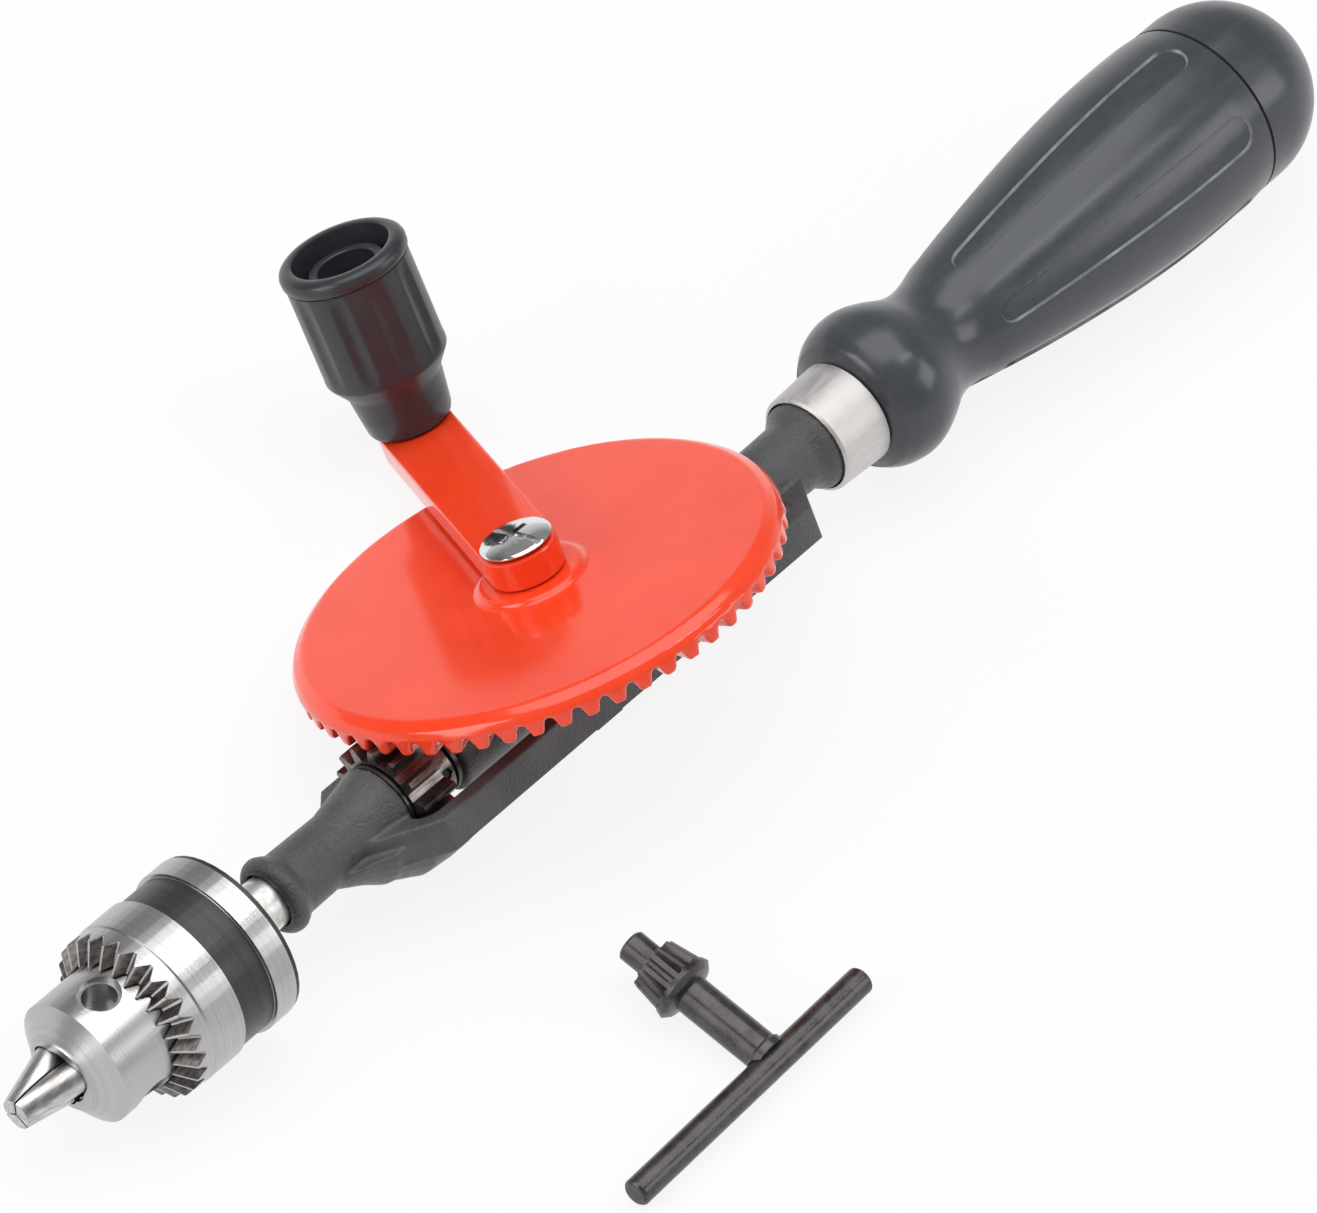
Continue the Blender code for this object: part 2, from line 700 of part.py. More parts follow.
def build_knob(tool, surfaces):
    """The fluted knob and the pin it spins on."""
    black, bright = surfaces
    axis = axis_empty("knob_axis", tool, (knob_x, knob_y, knob_bottom_z))
    neck = knob_neck_radius
    shoulder = knob_neck_height + knob_shoulder_height
    rim = knob_height - knob_rim_height
    rest = knob_rim_height - knob_rim_round
    bore = knob_pin_radius + gap
    sections = []
    for _flute in range(knob_flutes):
        for depth in flute_depth_shares:
            body = knob_body_radius - knob_flute_depth * depth
            sections.append((
                (0, bore), (0, neck - knob_neck_round), (knob_neck_round, neck),
                (knob_neck_height, neck + knob_neck_flare), (shoulder, body),
                (rim - edge_break, body), (rim, knob_rim_radius),
                (rim + rest, knob_rim_radius), (knob_height, knob_rim_radius - knob_rim_round),
                (knob_height, knob_recess_radius),
                (knob_height - knob_recess_depth, knob_recess_radius),
                (knob_height - knob_recess_depth, knob_tube_radius),
                (knob_height - knob_tube_drop, knob_tube_radius),
                (knob_height - knob_tube_drop, knob_bore_radius),
                (knob_floor_height, knob_bore_radius), (knob_floor_height, bore)))
    angles = toothed_angles(knob_flutes, flute_angle_shares)
    piece("knob", swept_mesh("knob", sections, angles, "Z"), axis, black)
    head = knob_floor_height + gap
    outline = ((-knob_pin_seat, 0), (-knob_pin_seat, knob_pin_radius), (head, knob_pin_radius),
               (head, knob_pin_head_radius), (head + knob_pin_head_height / 2,
                                              knob_pin_head_radius),
               (head + knob_pin_head_height, knob_pin_head_radius / 2),
               (head + knob_pin_head_height, 0))
    piece("knob_pin", turned_mesh("knob_pin", outline, "Z", 24), axis, bright)


# Handle
def panel_stations():
    """Angles round the handle, and how deep the panel is at each."""
    half = panel_width / handle_radius / 2
    ease = half / 4
    stations = ((-half - ease, 0.0), (-half + ease, 1.0), (half - ease, 1.0),
                (half + ease, 0.0), (math.pi / handle_panels, 0.0))
    start = math.radians(panel_phase)
    for panel in range(handle_panels):
        for angle, depth in stations:
            yield start + 2 * math.pi * panel / handle_panels + angle, depth


def build_handle(tool, surfaces):
    """Hollow handle with its long panels, the ferrule and the unscrewing end cap."""
    plastic, steel = surfaces
    bore = tang_radius + gap
    spigot = ferrule_radius - ferrule_wall - gap
    front_x = handle_front_x + handle_spigot_length
    bore_end = tang_end_x - gap
    store_x = handle_rear_x + store_depth
    sections, angles = [], []
    for angle, depth in panel_stations():
        outer = []
        for along, height in zip(handle_length_shares, handle_radius_shares):
            radius = handle_radius * height
            if panel_start_share < along < panel_end_share:
                radius -= panel_depth * depth
            outer.append((handle_front_x - handle_length * along, radius))
        sections.append([(bore_end, 0), (bore_end, bore), (front_x, bore), (front_x, spigot),
                         (handle_front_x, spigot), *outer, (handle_rear_x, store_radius),
                         (store_x, store_radius), (store_x, 0)])
        angles.append(angle)
    piece("handle_shell", swept_mesh("handle_shell", sections, angles, "X"), tool, plastic)
    lip = ferrule_radius - ferrule_wall
    rear_x = ferrule_front_x - ferrule_length
    outline = ((ferrule_front_x, lip), (ferrule_front_x, ferrule_radius - ferrule_flare),
               (ferrule_front_x - ferrule_flare, ferrule_radius),
               (rear_x, ferrule_radius + ferrule_flare), (rear_x, lip))
    piece("ferrule", turned_mesh("ferrule", outline, steps=fine_steps), tool, steel)
    spigot = store_radius - gap
    inner = spigot - cap_spigot_wall
    rises = [math.pi / 2 * step / cap_dome_steps for step in range(cap_dome_steps)]
    dome = [(cap_dome_x - cap_radius * math.sin(rise), cap_radius * math.cos(rise))
            for rise in rises]
    outline = ([(cap_front_x - cap_recess, 0), (cap_front_x - cap_recess, inner),
                (cap_front_x + cap_spigot_length, inner),
                (cap_front_x + cap_spigot_length, spigot - edge_break),
                (cap_front_x + cap_spigot_length - edge_break, spigot), (cap_front_x, spigot)]
               + [(cap_front_x, cap_radius), *dome, (cap_dome_x - cap_radius, 0)])
    piece("handle_cap", turned_mesh("handle_cap", outline, steps=fine_steps), tool, plastic)


# Chuck
def build_chuck(tool, surfaces):
    """Chuck body with its key holes and jaw bores, toothed sleeve and thrust ring."""
    steel, satin, bright = surfaces
    thread_bore = spindle_thread_radius + gap
    bore_step_x = spindle_tip_x + gap
    plate_front = chuck_back_x + back_plate_thickness
    cone_x = chuck_front_x - nose_cone_length
    outline = ((chuck_back_x, thread_bore), (chuck_back_x, back_plate_radius),
               (plate_front, back_plate_radius), (plate_front, chuck_body_radius),
               (cone_x, chuck_body_radius),
               (chuck_front_x - edge_break, nose_radius + edge_break),
               (chuck_front_x, nose_radius), (chuck_front_x, nose_mouth_radius),
               (chuck_front_x - nose_mouth_depth, nose_mouth_radius),
               (chuck_front_x - nose_mouth_depth, chuck_bore_radius),
               (bore_step_x, chuck_bore_radius), (bore_step_x, thread_bore))
    body = piece("chuck_body", turned_mesh("chuck_body", outline, steps=fine_steps), tool,
                 steel)
    for index in range(jaw_count):
        turn = 2 * math.pi * index / jaw_count
        hole_turn = math.radians(key_hole_angle) + turn
        deep = chuck_body_radius - key_hole_depth
        step = chuck_body_radius - key_hole_mouth_depth
        outline = ((deep, 0), (deep, key_hole_radius), (step, key_hole_radius),
                   (step, key_hole_mouth_radius),
                   (chuck_body_radius + overrun, key_hole_mouth_radius),
                   (chuck_body_radius + overrun, 0))
        name = "key_hole_%d" % (index + 1)
        hole = tool_shape(name, turned_mesh(name, outline, "Z", 24), body, "DIFFERENCE")
        hole.location = (key_hole_x, 0, 0)
        hole.rotation_euler = (hole_turn - math.pi / 2, 0, 0)
        name = "jaw_bore_%d" % (index + 1)
        reach = jaw_length + jaw_travel + overrun
        bore = tool_shape(name, cylinder_mesh(name, -reach, overrun, jaw_radius + gap, "Z", 24),
                          body, "DIFFERENCE")
        place_on_jaw_axis(bore, index)
    build_sleeve(tool, satin)
    start = sleeve_rear_x + thrust_ring_inset
    piece("chuck_thrust_ring", ring_mesh("chuck_thrust_ring", 0, thrust_ring_length,
          chuck_body_radius + gap, sleeve_cavity_radius - gap), tool, bright, (start, 0, 0))


def build_sleeve(tool, satin):
    """The turning sleeve: rear ring, band, plain part and toothed front ring."""
    ring_end = sleeve_rear_x + sleeve_ring_length
    band_end = ring_end + sleeve_band_length
    plain_end = sleeve_front_x - toothed_ring_length
    bore = chuck_body_radius + gap
    cavity_end = sleeve_rear_x + sleeve_cavity_length
    sections = []
    for _tooth in range(chuck_teeth):
        for height in notch_height_shares:
            notch = chuck_tooth_depth * (1 - height)
            sections.append((
                (sleeve_rear_x, sleeve_cavity_radius),
                (sleeve_rear_x, sleeve_radius - edge_break),
                (sleeve_rear_x + edge_break, sleeve_ring_radius),
                (ring_end, sleeve_ring_radius), (ring_end, sleeve_band_radius),
                (band_end, sleeve_band_radius), (band_end, sleeve_radius),
                (plain_end, sleeve_radius), (plain_end + edge_break / 2, toothed_ring_radius),
                (sleeve_front_x - chuck_tooth_cone - notch, toothed_ring_radius),
                (sleeve_front_x - notch, bore), (cavity_end, bore),
                (cavity_end - edge_break, sleeve_cavity_radius)))
    angles = toothed_angles(chuck_teeth, notch_angle_shares)
    piece("chuck_sleeve", swept_mesh("chuck_sleeve", sections, angles, "X"), tool, satin)


def place_on_jaw_axis(item, index):
    """Set a piece's own Z axis along a jaw's slanted axis, with its origin at the tip."""
    turn = math.radians(key_hole_angle) + math.pi * (2 * index - 1) / jaw_count
    offset = jaw_tip_radius - jaw_axis_drop
    item.rotation_mode = "QUATERNION"
    slant = math.radians(jaw_slant)
    direction = Vector((math.cos(slant), -math.sin(slant) * math.cos(turn),
                        -math.sin(slant) * math.sin(turn)))
    item.rotation_quaternion = direction.to_track_quat("Z", "X")
    item.location = (jaw_tip_x, offset * math.cos(turn), offset * math.sin(turn))


def build_jaws(tool, steel):
    """Three closed jaws: slanted round bars with a wedge cut and a flat tip."""
    for index in range(jaw_count):
        form = bmesh.new()
        mesh = cylinder_mesh("jaw", -jaw_length, jaw_length / 2, jaw_radius, "Z", 24)
        jaw = piece("jaw_%d" % (index + 1), mesh, tool, steel)
        place_on_jaw_axis(jaw, index)
        to_tool = jaw.rotation_quaternion.to_matrix().to_4x4()
        to_tool.translation = jaw.location
        mesh.transform(to_tool)
        form.from_mesh(mesh)
        trim(form, (jaw_tip_x, 0, 0), (1, 0, 0))
        turn = math.radians(key_hole_angle) + math.pi * (2 * index - 1) / jaw_count
        for side in (1, -1):
            wall = turn + side * math.pi / jaw_count
            normal = Vector((0, -math.sin(wall), math.cos(wall))) * side
            trim(form, -normal * jaw_half_gap, normal)
        cut = finish_mesh(jaw.name, form)
        cut.transform(to_tool.inverted())
        cut.materials.append(steel)
        jaw.data = cut


# Chuck key
def build_key(surface):
    """The loose key: cross bar, saddle, shank, flange, bevel pinion and pilot."""
    saddle_end = key_saddle_start + key_saddle_length
    flange_middle = key_flange_at + key_flange_thickness / 2
    tilt = math.atan((key_flange_radius - key_saddle_radius) / (flange_middle - saddle_end))
    height = key_saddle_radius * math.cos(tilt) - saddle_end * math.sin(tilt)
    root = axis_empty("key_place", None)
    key = axis_empty("key_axis", root, (0, 0, height), (-tilt, 0, 0))
    pinion_start = key_flange_at + key_flange_thickness
    pinion_end = pinion_start + key_pinion_length
    tip = pinion_end + key_pilot_length
    sections = []
    for _tooth in range(key_pinion_teeth):
        for height in pinion_height_shares:
            rise = key_pinion_root + (key_pinion_radius - key_pinion_root) * height
            sections.append((
                (key_saddle_start, 0), (key_saddle_start, key_saddle_radius),
                (saddle_end, key_saddle_radius),
                (saddle_end + edge_break, key_shank_radius), (key_flange_at, key_shank_radius),
                (key_flange_at + edge_break, key_flange_radius - 2 * edge_break),
                (flange_middle, key_flange_radius),
                (pinion_start - edge_break, key_flange_radius - edge_break / 2),
                (pinion_start, rise),
                (pinion_end, rise - key_pinion_taper * height),
                (pinion_end, key_pilot_radius), (tip - edge_break, key_pilot_radius),
                (tip, key_pilot_radius - edge_break), (tip, 0)))
    angles = toothed_angles(key_pinion_teeth, pinion_angle_shares)
    shank = piece("key_shank", swept_mesh("key_shank", sections, angles, "X"), key, surface)
    shank.rotation_euler = (0, 0, math.radians(-90))
    low = key_bar_offset - key_bar_length / 2
    groove = cylinder_mesh("bar_groove", low - overrun, low + key_bar_length + overrun,
                           key_bar_radius + gap, "Z", 32)
    saddle = tool_shape("bar_groove", groove, shank, "DIFFERENCE")
    saddle.rotation_euler = (math.radians(90), 0, math.radians(90))
    outline = ((0, 0), (0, key_bar_radius - edge_break), (edge_break, key_bar_radius),
               (key_bar_length - edge_break, key_bar_radius),
               (key_bar_length, key_bar_radius - edge_break), (key_bar_length, 0))
    piece("key_bar", turned_mesh("key_bar", outline, steps=32), key, surface, (low, 0, 0))
    return root


# Placing
def lie_down(tool):
    """Lay the tool on its handle, its chuck and the end of its crank arm."""
    widest = handle_radius_shares.index(max(handle_radius_shares))
    handle_x = handle_front_x - handle_length * handle_length_shares[widest]
    chuck_x = sleeve_rear_x + sleeve_ring_length - edge_break
    pitch = math.atan((handle_radius - sleeve_ring_radius) / (chuck_x - handle_x))
    height = chuck_x * math.sin(pitch) + sleeve_ring_radius * math.cos(pitch)
    arm_reach = arm_width / 2 - knob_y
    rise = (height - knob_x * math.sin(pitch)) / math.cos(pitch)
    low_z = arm_bottom_z
    roll = math.asin(rise / math.hypot(arm_reach, low_z)) + math.atan2(low_z, arm_reach)
    tool.rotation_euler = (roll, pitch, 0)
    tool.location = (0, 0, height)


def centre_on_floor(roots):
    """Shift everything until the middle of its box is over the origin."""
    bpy.context.view_layer.update()
    graph = bpy.context.evaluated_depsgraph_get()
    points = []
    for item in bpy.context.scene.objects:
        if item.type == "MESH" and not item.hide_render:
            solid = item.evaluated_get(graph)
            points += [solid.matrix_world @ vertex.co for vertex in solid.data.vertices]
    middle = [(min(p[i] for p in points) + max(p[i] for p in points)) / 2 for i in (0, 1)]
    for root in roots:
        root.location.x -= middle[0]
        root.location.y -= middle[1]
        root.location.z -= min(p[2] for p in points)


def main():
    """Build the drill and its key."""
    for item in list(bpy.data.objects):
        bpy.data.objects.remove(item, do_unlink=True)
    iron = material("grey_cast_iron", (0.13, 0.135, 0.14), 0.5, 0.0)
    red = material("red_enamel", (0.85, 0.09, 0.045), 0.22, 0.0)
    steel = material("machined_steel", (0.55, 0.54, 0.53), 0.35, 1.0)
    satin = material("satin_steel", (0.66, 0.66, 0.66), 0.32, 1.0)
    bright = material("zinc_plate", (0.75, 0.76, 0.74), 0.28, 1.0)
    chrome = material("chrome_plate", (0.82, 0.83, 0.84), 0.1, 1.0)
    dark = material("black_oxide_steel", (0.10, 0.095, 0.095), 0.38, 1.0)
    plastic = material("slate_plastic", (0.12, 0.13, 0.14), 0.4, 0.0)
    black = material("black_plastic", (0.05, 0.052, 0.055), 0.42, 0.0)
    tool = axis_empty("tool_axes", None)
    build_frame(tool, iron)
    build_spindle(tool, (steel, bright, dark))
    build_crank(tool, (red, bright, dark, chrome))
    build_knob(tool, (black, bright))
    build_handle(tool, (plastic, satin))
    build_chuck(tool, (satin, satin, bright))
    build_jaws(tool, satin)
    key = build_key(dark)
    lie_down(tool)
    key.location = (key_place_x, key_place_y, 0)
    key.rotation_euler = (0, 0, math.radians(key_turn))
    centre_on_floor((tool, key))


main()
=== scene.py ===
# %% [markdown]
# # A geared hand drill
# This lesson dresses a hand drill that is already laid out as an exact frame: a cast iron
# frame, a red gear with a crank, a keyed chuck, a hollow plastic handle and a loose chuck key.
# The frame gives every part its size and place. The work here is what the eye sees: soft cast
# edges, turned steel, enamel, moulded plastic, and a plain light studio.

# %% Load the frame
import json
import math

import bpy
from mathutils import Matrix, Vector

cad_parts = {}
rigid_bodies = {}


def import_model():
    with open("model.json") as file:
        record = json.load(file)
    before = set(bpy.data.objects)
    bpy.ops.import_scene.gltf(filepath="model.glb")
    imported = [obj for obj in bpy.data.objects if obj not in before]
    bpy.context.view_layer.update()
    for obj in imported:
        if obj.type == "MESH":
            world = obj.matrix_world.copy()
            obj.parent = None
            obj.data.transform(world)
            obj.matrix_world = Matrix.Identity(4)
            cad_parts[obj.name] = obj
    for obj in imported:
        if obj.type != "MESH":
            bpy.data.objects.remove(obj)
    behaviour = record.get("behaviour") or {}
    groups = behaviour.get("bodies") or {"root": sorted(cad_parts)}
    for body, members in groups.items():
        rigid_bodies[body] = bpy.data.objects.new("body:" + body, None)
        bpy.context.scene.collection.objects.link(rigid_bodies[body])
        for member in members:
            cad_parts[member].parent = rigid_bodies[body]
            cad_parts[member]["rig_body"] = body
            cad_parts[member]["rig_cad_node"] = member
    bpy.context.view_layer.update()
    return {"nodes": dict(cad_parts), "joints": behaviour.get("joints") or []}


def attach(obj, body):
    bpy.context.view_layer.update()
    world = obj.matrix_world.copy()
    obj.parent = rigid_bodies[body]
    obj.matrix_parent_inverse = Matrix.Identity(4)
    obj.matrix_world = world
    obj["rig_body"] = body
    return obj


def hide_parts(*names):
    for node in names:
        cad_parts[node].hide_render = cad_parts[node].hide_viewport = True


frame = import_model()

# %% [markdown]
# ## The drill's own axes
# The drill lies tilted on the floor, so its spindle isn't along any axis of the scene. Its
# joints say where the spindle and the gear axle run. From these two lines comes a matrix that
# turns drill coordinates, with X along the spindle and Z along the gear axle, into scene
# coordinates. Everything round is modelled in drill coordinates, in millimetres.

# %% Drill coordinates
MM = 0.001
joints = {joint["name"]: joint for joint in frame["joints"]}
spindle_way = Vector(joints["spindle_turn"]["axis"]).normalized()
gear_way = Vector(joints["crank_turn"]["axis"]).normalized()
side_way = gear_way.cross(spindle_way)
drill = Matrix((spindle_way, side_way, gear_way)).transposed().to_4x4()
drill.translation = Vector(joints["crank_turn"]["pos_m"])
knob_way = drill.copy()
knob_way.translation = Vector(joints["knob_spin"]["pos_m"])


def at(x, y, z, base=drill):
    """A point given in millimetres along the drill's own axes."""
    return base @ Vector((x * MM, y * MM, z * MM))


def in_drill(point):
    """A scene point in millimetres along the drill's own axes."""
    return (drill.inverted() @ point) / MM


print("spindle runs along", [round(v, 3) for v in spindle_way])

# %% [markdown]
# ## Camera
# The photograph looks down on the drill at about fifty degrees with a long lens, so the shapes
# hardly narrow with distance. The place of the camera is written in drill coordinates, because
# it was found by fitting the drill's own edges to the picture.

# %% Camera at the photograph's angle
camera_data = bpy.data.cameras.new("long_lens")
camera_data.sensor_width = 36
camera_data.lens = 234.73
camera = bpy.data.objects.new("camera", camera_data)
bpy.context.scene.collection.objects.link(camera)
right = Vector((-0.6578, 0.6724, -0.3393))
up = Vector((-0.5591, -0.1341, 0.8182))
back = Vector((0.5046, 0.7279, 0.4642))
stand = Matrix((right, up, back)).transposed().to_4x4()
stand.translation = Vector((0.7803, 1.1597, 0.7335))
camera.matrix_world = drill @ stand
camera_data.clip_start = 0.05
camera_data.clip_end = 20
bpy.context.scene.camera = camera
print("camera at", [round(v, 3) for v in camera.matrix_world.translation])

# %% [markdown]
# ## Studio
# The background is plain white and the shadows are faint. A wide pale floor carries the drill.
# The camera sees most of it as pure white and a little of it as a lit surface, so that a soft
# shadow stays under the drill. Floor, surround and finishes are all built from shader nodes,
# so one small helper makes a node and sets it up.

# %% A helper for shader nodes


def add_node(tree, kind, inputs=None, **settings):
    """A shader node with its settings, and values for some of its inputs."""
    node = tree.nodes.new(kind)
    for name, value in settings.items():
        setattr(node, name, value)
    for name, value in (inputs or {}).items():
        node.inputs[name].default_value = value
    return node


# %% Floor
WHITE = (1, 1, 1, 1)
PAPER_GREY = (0.86, 0.86, 0.86, 1)
white_share = 0.87

bpy.ops.mesh.primitive_grid_add(x_subdivisions=2, y_subdivisions=2, size=8, location=(0, 0, 0))
floor = bpy.context.active_object
floor.name = "studio_floor"
paper = bpy.data.materials.new("white_paper")
paper.use_nodes = True
tree = paper.node_tree
tree.nodes.clear()
lit = add_node(tree, "ShaderNodeBsdfDiffuse", {"Color": PAPER_GREY})
glow = add_node(tree, "ShaderNodeEmission", {"Color": WHITE, "Strength": 1.0})
path = add_node(tree, "ShaderNodeLightPath")
seen = add_node(tree, "ShaderNodeMath", operation="MAXIMUM")
through = add_node(tree, "ShaderNodeMath", operation="MAXIMUM")
share = add_node(tree, "ShaderNodeMath", {1: white_share}, operation="MULTIPLY")
blend = add_node(tree, "ShaderNodeMixShader")
output = add_node(tree, "ShaderNodeOutputMaterial")
for start, end in ((path.outputs["Is Camera Ray"], seen.inputs[0]),
                   (path.outputs["Is Glossy Ray"], seen.inputs[1]),
                   (seen.outputs[0], through.inputs[0]),
                   (path.outputs["Is Transmission Ray"], through.inputs[1]),
                   (through.outputs[0], share.inputs[0]),
                   (share.outputs[0], blend.inputs[0]),
                   (lit.outputs[0], blend.inputs[1]),
                   (glow.outputs[0], blend.inputs[2]),
                   (blend.outputs[0], output.inputs[0])):
    tree.links.new(start, end)
floor.data.materials.append(paper)
print("floor:", [round(v, 2) for v in floor.dimensions], "share of pure white:", white_share)

# %% [markdown]
# ### Surround
# Steel shows what stands around it. The camera sees the surround as white, but the steel sees
# a pale band at the height of the table and a dim room above it, darker still towards one side.
# That leaves the dark edges that make steel look like steel.

# %% Surround
TABLE_HEIGHT, TABLE_LIGHT = 0.06, (0.66, 0.66, 0.66, 1)
ROOM_HEIGHT, ROOM_LIGHT = 0.34, (0.27, 0.27, 0.27, 1)
DARK_SIDE = (0.64, -0.77, 0.0)

world = bpy.data.worlds.new("studio")
bpy.context.scene.world = world
world.use_nodes = True
tree = world.node_tree
tree.nodes.clear()
direction = add_node(tree, "ShaderNodeTexCoord")
height = add_node(tree, "ShaderNodeSeparateXYZ")
sweep = add_node(tree, "ShaderNodeValToRGB")
low_stop, high_stop = sweep.color_ramp.elements
low_stop.position, low_stop.color = TABLE_HEIGHT, TABLE_LIGHT
high_stop.position, high_stop.color = ROOM_HEIGHT, ROOM_LIGHT
facing = add_node(tree, "ShaderNodeVectorMath", {1: DARK_SIDE}, operation="DOT_PRODUCT")
darker = add_node(tree, "ShaderNodeMapRange",
                  {"From Min": 0.6, "From Max": 0.85, "To Min": 1.0, "To Max": 0.4})
dim = add_node(tree, "ShaderNodeBackground")
white = add_node(tree, "ShaderNodeBackground", {"Color": WHITE, "Strength": 1.0})
path = add_node(tree, "ShaderNodeLightPath")
blend = add_node(tree, "ShaderNodeMixShader")
output = add_node(tree, "ShaderNodeOutputWorld")
for start, end in ((direction.outputs["Generated"], height.inputs[0]),
                   (height.outputs["Z"], sweep.inputs["Fac"]),
                   (direction.outputs["Generated"], facing.inputs[0]),
                   (facing.outputs["Value"], darker.inputs["Value"]),
                   (darker.outputs["Result"], dim.inputs["Strength"]),
                   (sweep.outputs["Color"], dim.inputs["Color"]),
                   (path.outputs["Is Camera Ray"], blend.inputs[0]),
                   (dim.outputs[0], blend.inputs[1]),
                   (white.outputs[0], blend.inputs[2]),
                   (blend.outputs[0], output.inputs[0])):
    tree.links.new(start, end)
print("surround:", world.name, "with", len(tree.nodes), "nodes")

# %% [markdown]
# ### Soft panels
# Three large lamps give an even light and long calm highlights, and two narrow strips add
# thinner ones. Each lamp is aimed by building its three directions: backward from the target,
# sideways and up.

# %% Soft panels


def soft_panel(name, place, target, size, watts, along=(0, 0, 1)):
    """A soft lamp that faces a point on the drill, with its height laid along a direction."""
    lamp_data = bpy.data.lights.new(name, "AREA")
    lamp_data.shape = "RECTANGLE"
    lamp_data.size, lamp_data.size_y = size
    lamp_data.energy = watts
    lamp = bpy.data.objects.new(name, lamp_data)
    bpy.context.scene.collection.objects.link(lamp)
    backward = (Vector(place) - Vector(target)).normalized()
    sideways = Vector(along).cross(backward).normalized()
    turn = Matrix((sideways, backward.cross(sideways), backward)).transposed().to_4x4()
    turn.translation = place
    lamp.matrix_world = turn


soft_panel("top_panel", (-0.1, -0.25, 1.5), (0, 0, 0), (1.8, 1.3), 16.5)
soft_panel("left_panel", (1.25, -0.55, 0.75), (0.05, 0, 0), (0.9, 0.8), 9.0)
soft_panel("right_panel", (-0.9, 1.1, 0.7), (-0.05, 0, 0), (0.8, 0.7), 4.8)
soft_panel("long_strip", (-0.5, 0.5, 1.22), (-0.1, 0, 0), (0.08, 0.7), 1.5, along=(1, 0, 0))
soft_panel("front_strip", (1.5, -0.02, 0.21), (0.16, 0, 0.03), (0.18, 0.5), 0.7)
bpy.context.scene.view_settings.view_transform = "Standard"
print("lamps:", [lamp.name for lamp in bpy.data.lights])

# %% [markdown]
# ## Working by hand, in code
# Blender's operators act on whatever is selected, so each step first clears the selection,
# then picks the piece, or the faces of it, by where they lie. These few helpers are the hands
# for everything that follows. The last one finishes a piece: it says which body the piece
# rides on and which parts of the frame it stands for.

# %% Picking and shaping helpers


def hold(piece):
    """Make one piece the only selected and active one."""
    bpy.ops.object.select_all(action="DESELECT")
    piece.hide_viewport = False
    piece.select_set(True)
    bpy.context.view_layer.objects.active = piece


def pick_faces(piece, test):
    """Select the faces that pass a test on their centre and normal, and enter edit mode."""
    hold(piece)
    bpy.ops.object.mode_set(mode="EDIT")
    bpy.ops.mesh.select_mode(type="FACE")
    bpy.ops.mesh.select_all(action="DESELECT")
    bpy.ops.object.mode_set(mode="OBJECT")
    count = 0
    for face in piece.data.polygons:
        face.select = bool(test(face))
        count += face.select
    bpy.ops.object.mode_set(mode="EDIT")
    return count


def apply_modifier(piece, kind, **settings):
    """Add one modifier, set it and apply it."""
    hold(piece)
    step = piece.modifiers.new(kind.lower(), kind)
    for name, value in settings.items():
        setattr(step, name, value)
    bpy.ops.object.modifier_apply(modifier=step.name)


def copy_of(node, name):
    """A welded copy of a part of the frame, free to be reshaped."""
    hold(frame["nodes"][node])
    bpy.ops.object.duplicate()
    piece = bpy.context.active_object
    bpy.ops.object.parent_clear(type="CLEAR_KEEP_TRANSFORM")
    piece.name = name
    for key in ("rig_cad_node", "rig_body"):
        del piece[key]
    bpy.ops.mesh.customdata_custom_splitnormals_clear()
    bpy.ops.object.mode_set(mode="EDIT")
    bpy.ops.mesh.select_all(action="SELECT")
    bpy.ops.mesh.remove_doubles(threshold=0.000002)
    bpy.ops.mesh.dissolve_limited(angle_limit=math.radians(0.6))
    bpy.ops.object.mode_set(mode="OBJECT")
    piece.data.materials.clear()
    return piece


def filed_copy(node, name, width):
    """A copy of a part with its sharp edges broken to a width in millimetres."""
    piece = copy_of(node, name)
    apply_modifier(piece, "BEVEL", width=width * MM, segments=2, limit_method="ANGLE",
                   angle_limit=math.radians(28))
    return piece


def dress(piece, body, slot, finish, *nodes, angle=35, flat=False):
    """Shade a finished piece, paint it, and let it ride in place of its part."""
    hold(piece)
    bpy.ops.object.shade_smooth_by_angle(angle=math.radians(angle))
    if flat:
        apply_modifier(piece, "WEIGHTED_NORMAL", keep_sharp=True)
    if not piece.data.materials:
        piece.data.materials.append(finish)
    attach(piece, body)
    if nodes:
        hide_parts(*nodes)
    triangles = sum(len(face.vertices) - 2 for face in piece.data.polygons)
    print(piece.name, "has", triangles, "triangles")


# %% [markdown]
# ## Finishes
# Each finish starts from one node, the Principled shader, and gets its grain, wear and bump
# from noise in drill coordinates. A Mapping node turns the object's coordinates into drill
# coordinates, so a lathe mark can run round the spindle and a grind mark along a jaw.

# %% Finish helpers
turn_back = drill.to_3x3().transposed()
shift_back = -(turn_back @ drill.translation)


def new_finish(name, colour, roughness, metallic=0.0, coat=0.0):
    """A material with its shader, and coordinates along the drill's axes."""
    finish = bpy.data.materials.new(name)
    finish.use_nodes = True
    shader = finish.node_tree.nodes["Principled BSDF"]
    shader.inputs["Base Color"].default_value = (*colour, 1)
    shader.inputs["Roughness"].default_value = roughness
    shader.inputs["Metallic"].default_value = metallic
    shader.inputs["Coat Weight"].default_value = coat
    shader.inputs["Coat Roughness"].default_value = 0.11
    tree = finish.node_tree
    place = add_node(tree, "ShaderNodeTexCoord")
    mapping = add_node(tree, "ShaderNodeMapping", name="drill_axes")
    mapping.inputs["Location"].default_value = shift_back
    mapping.inputs["Rotation"].default_value = turn_back.to_euler("XYZ")
    tree.links.new(place.outputs["Object"], mapping.inputs["Vector"])
    return finish


# %% Noise and lathe marks


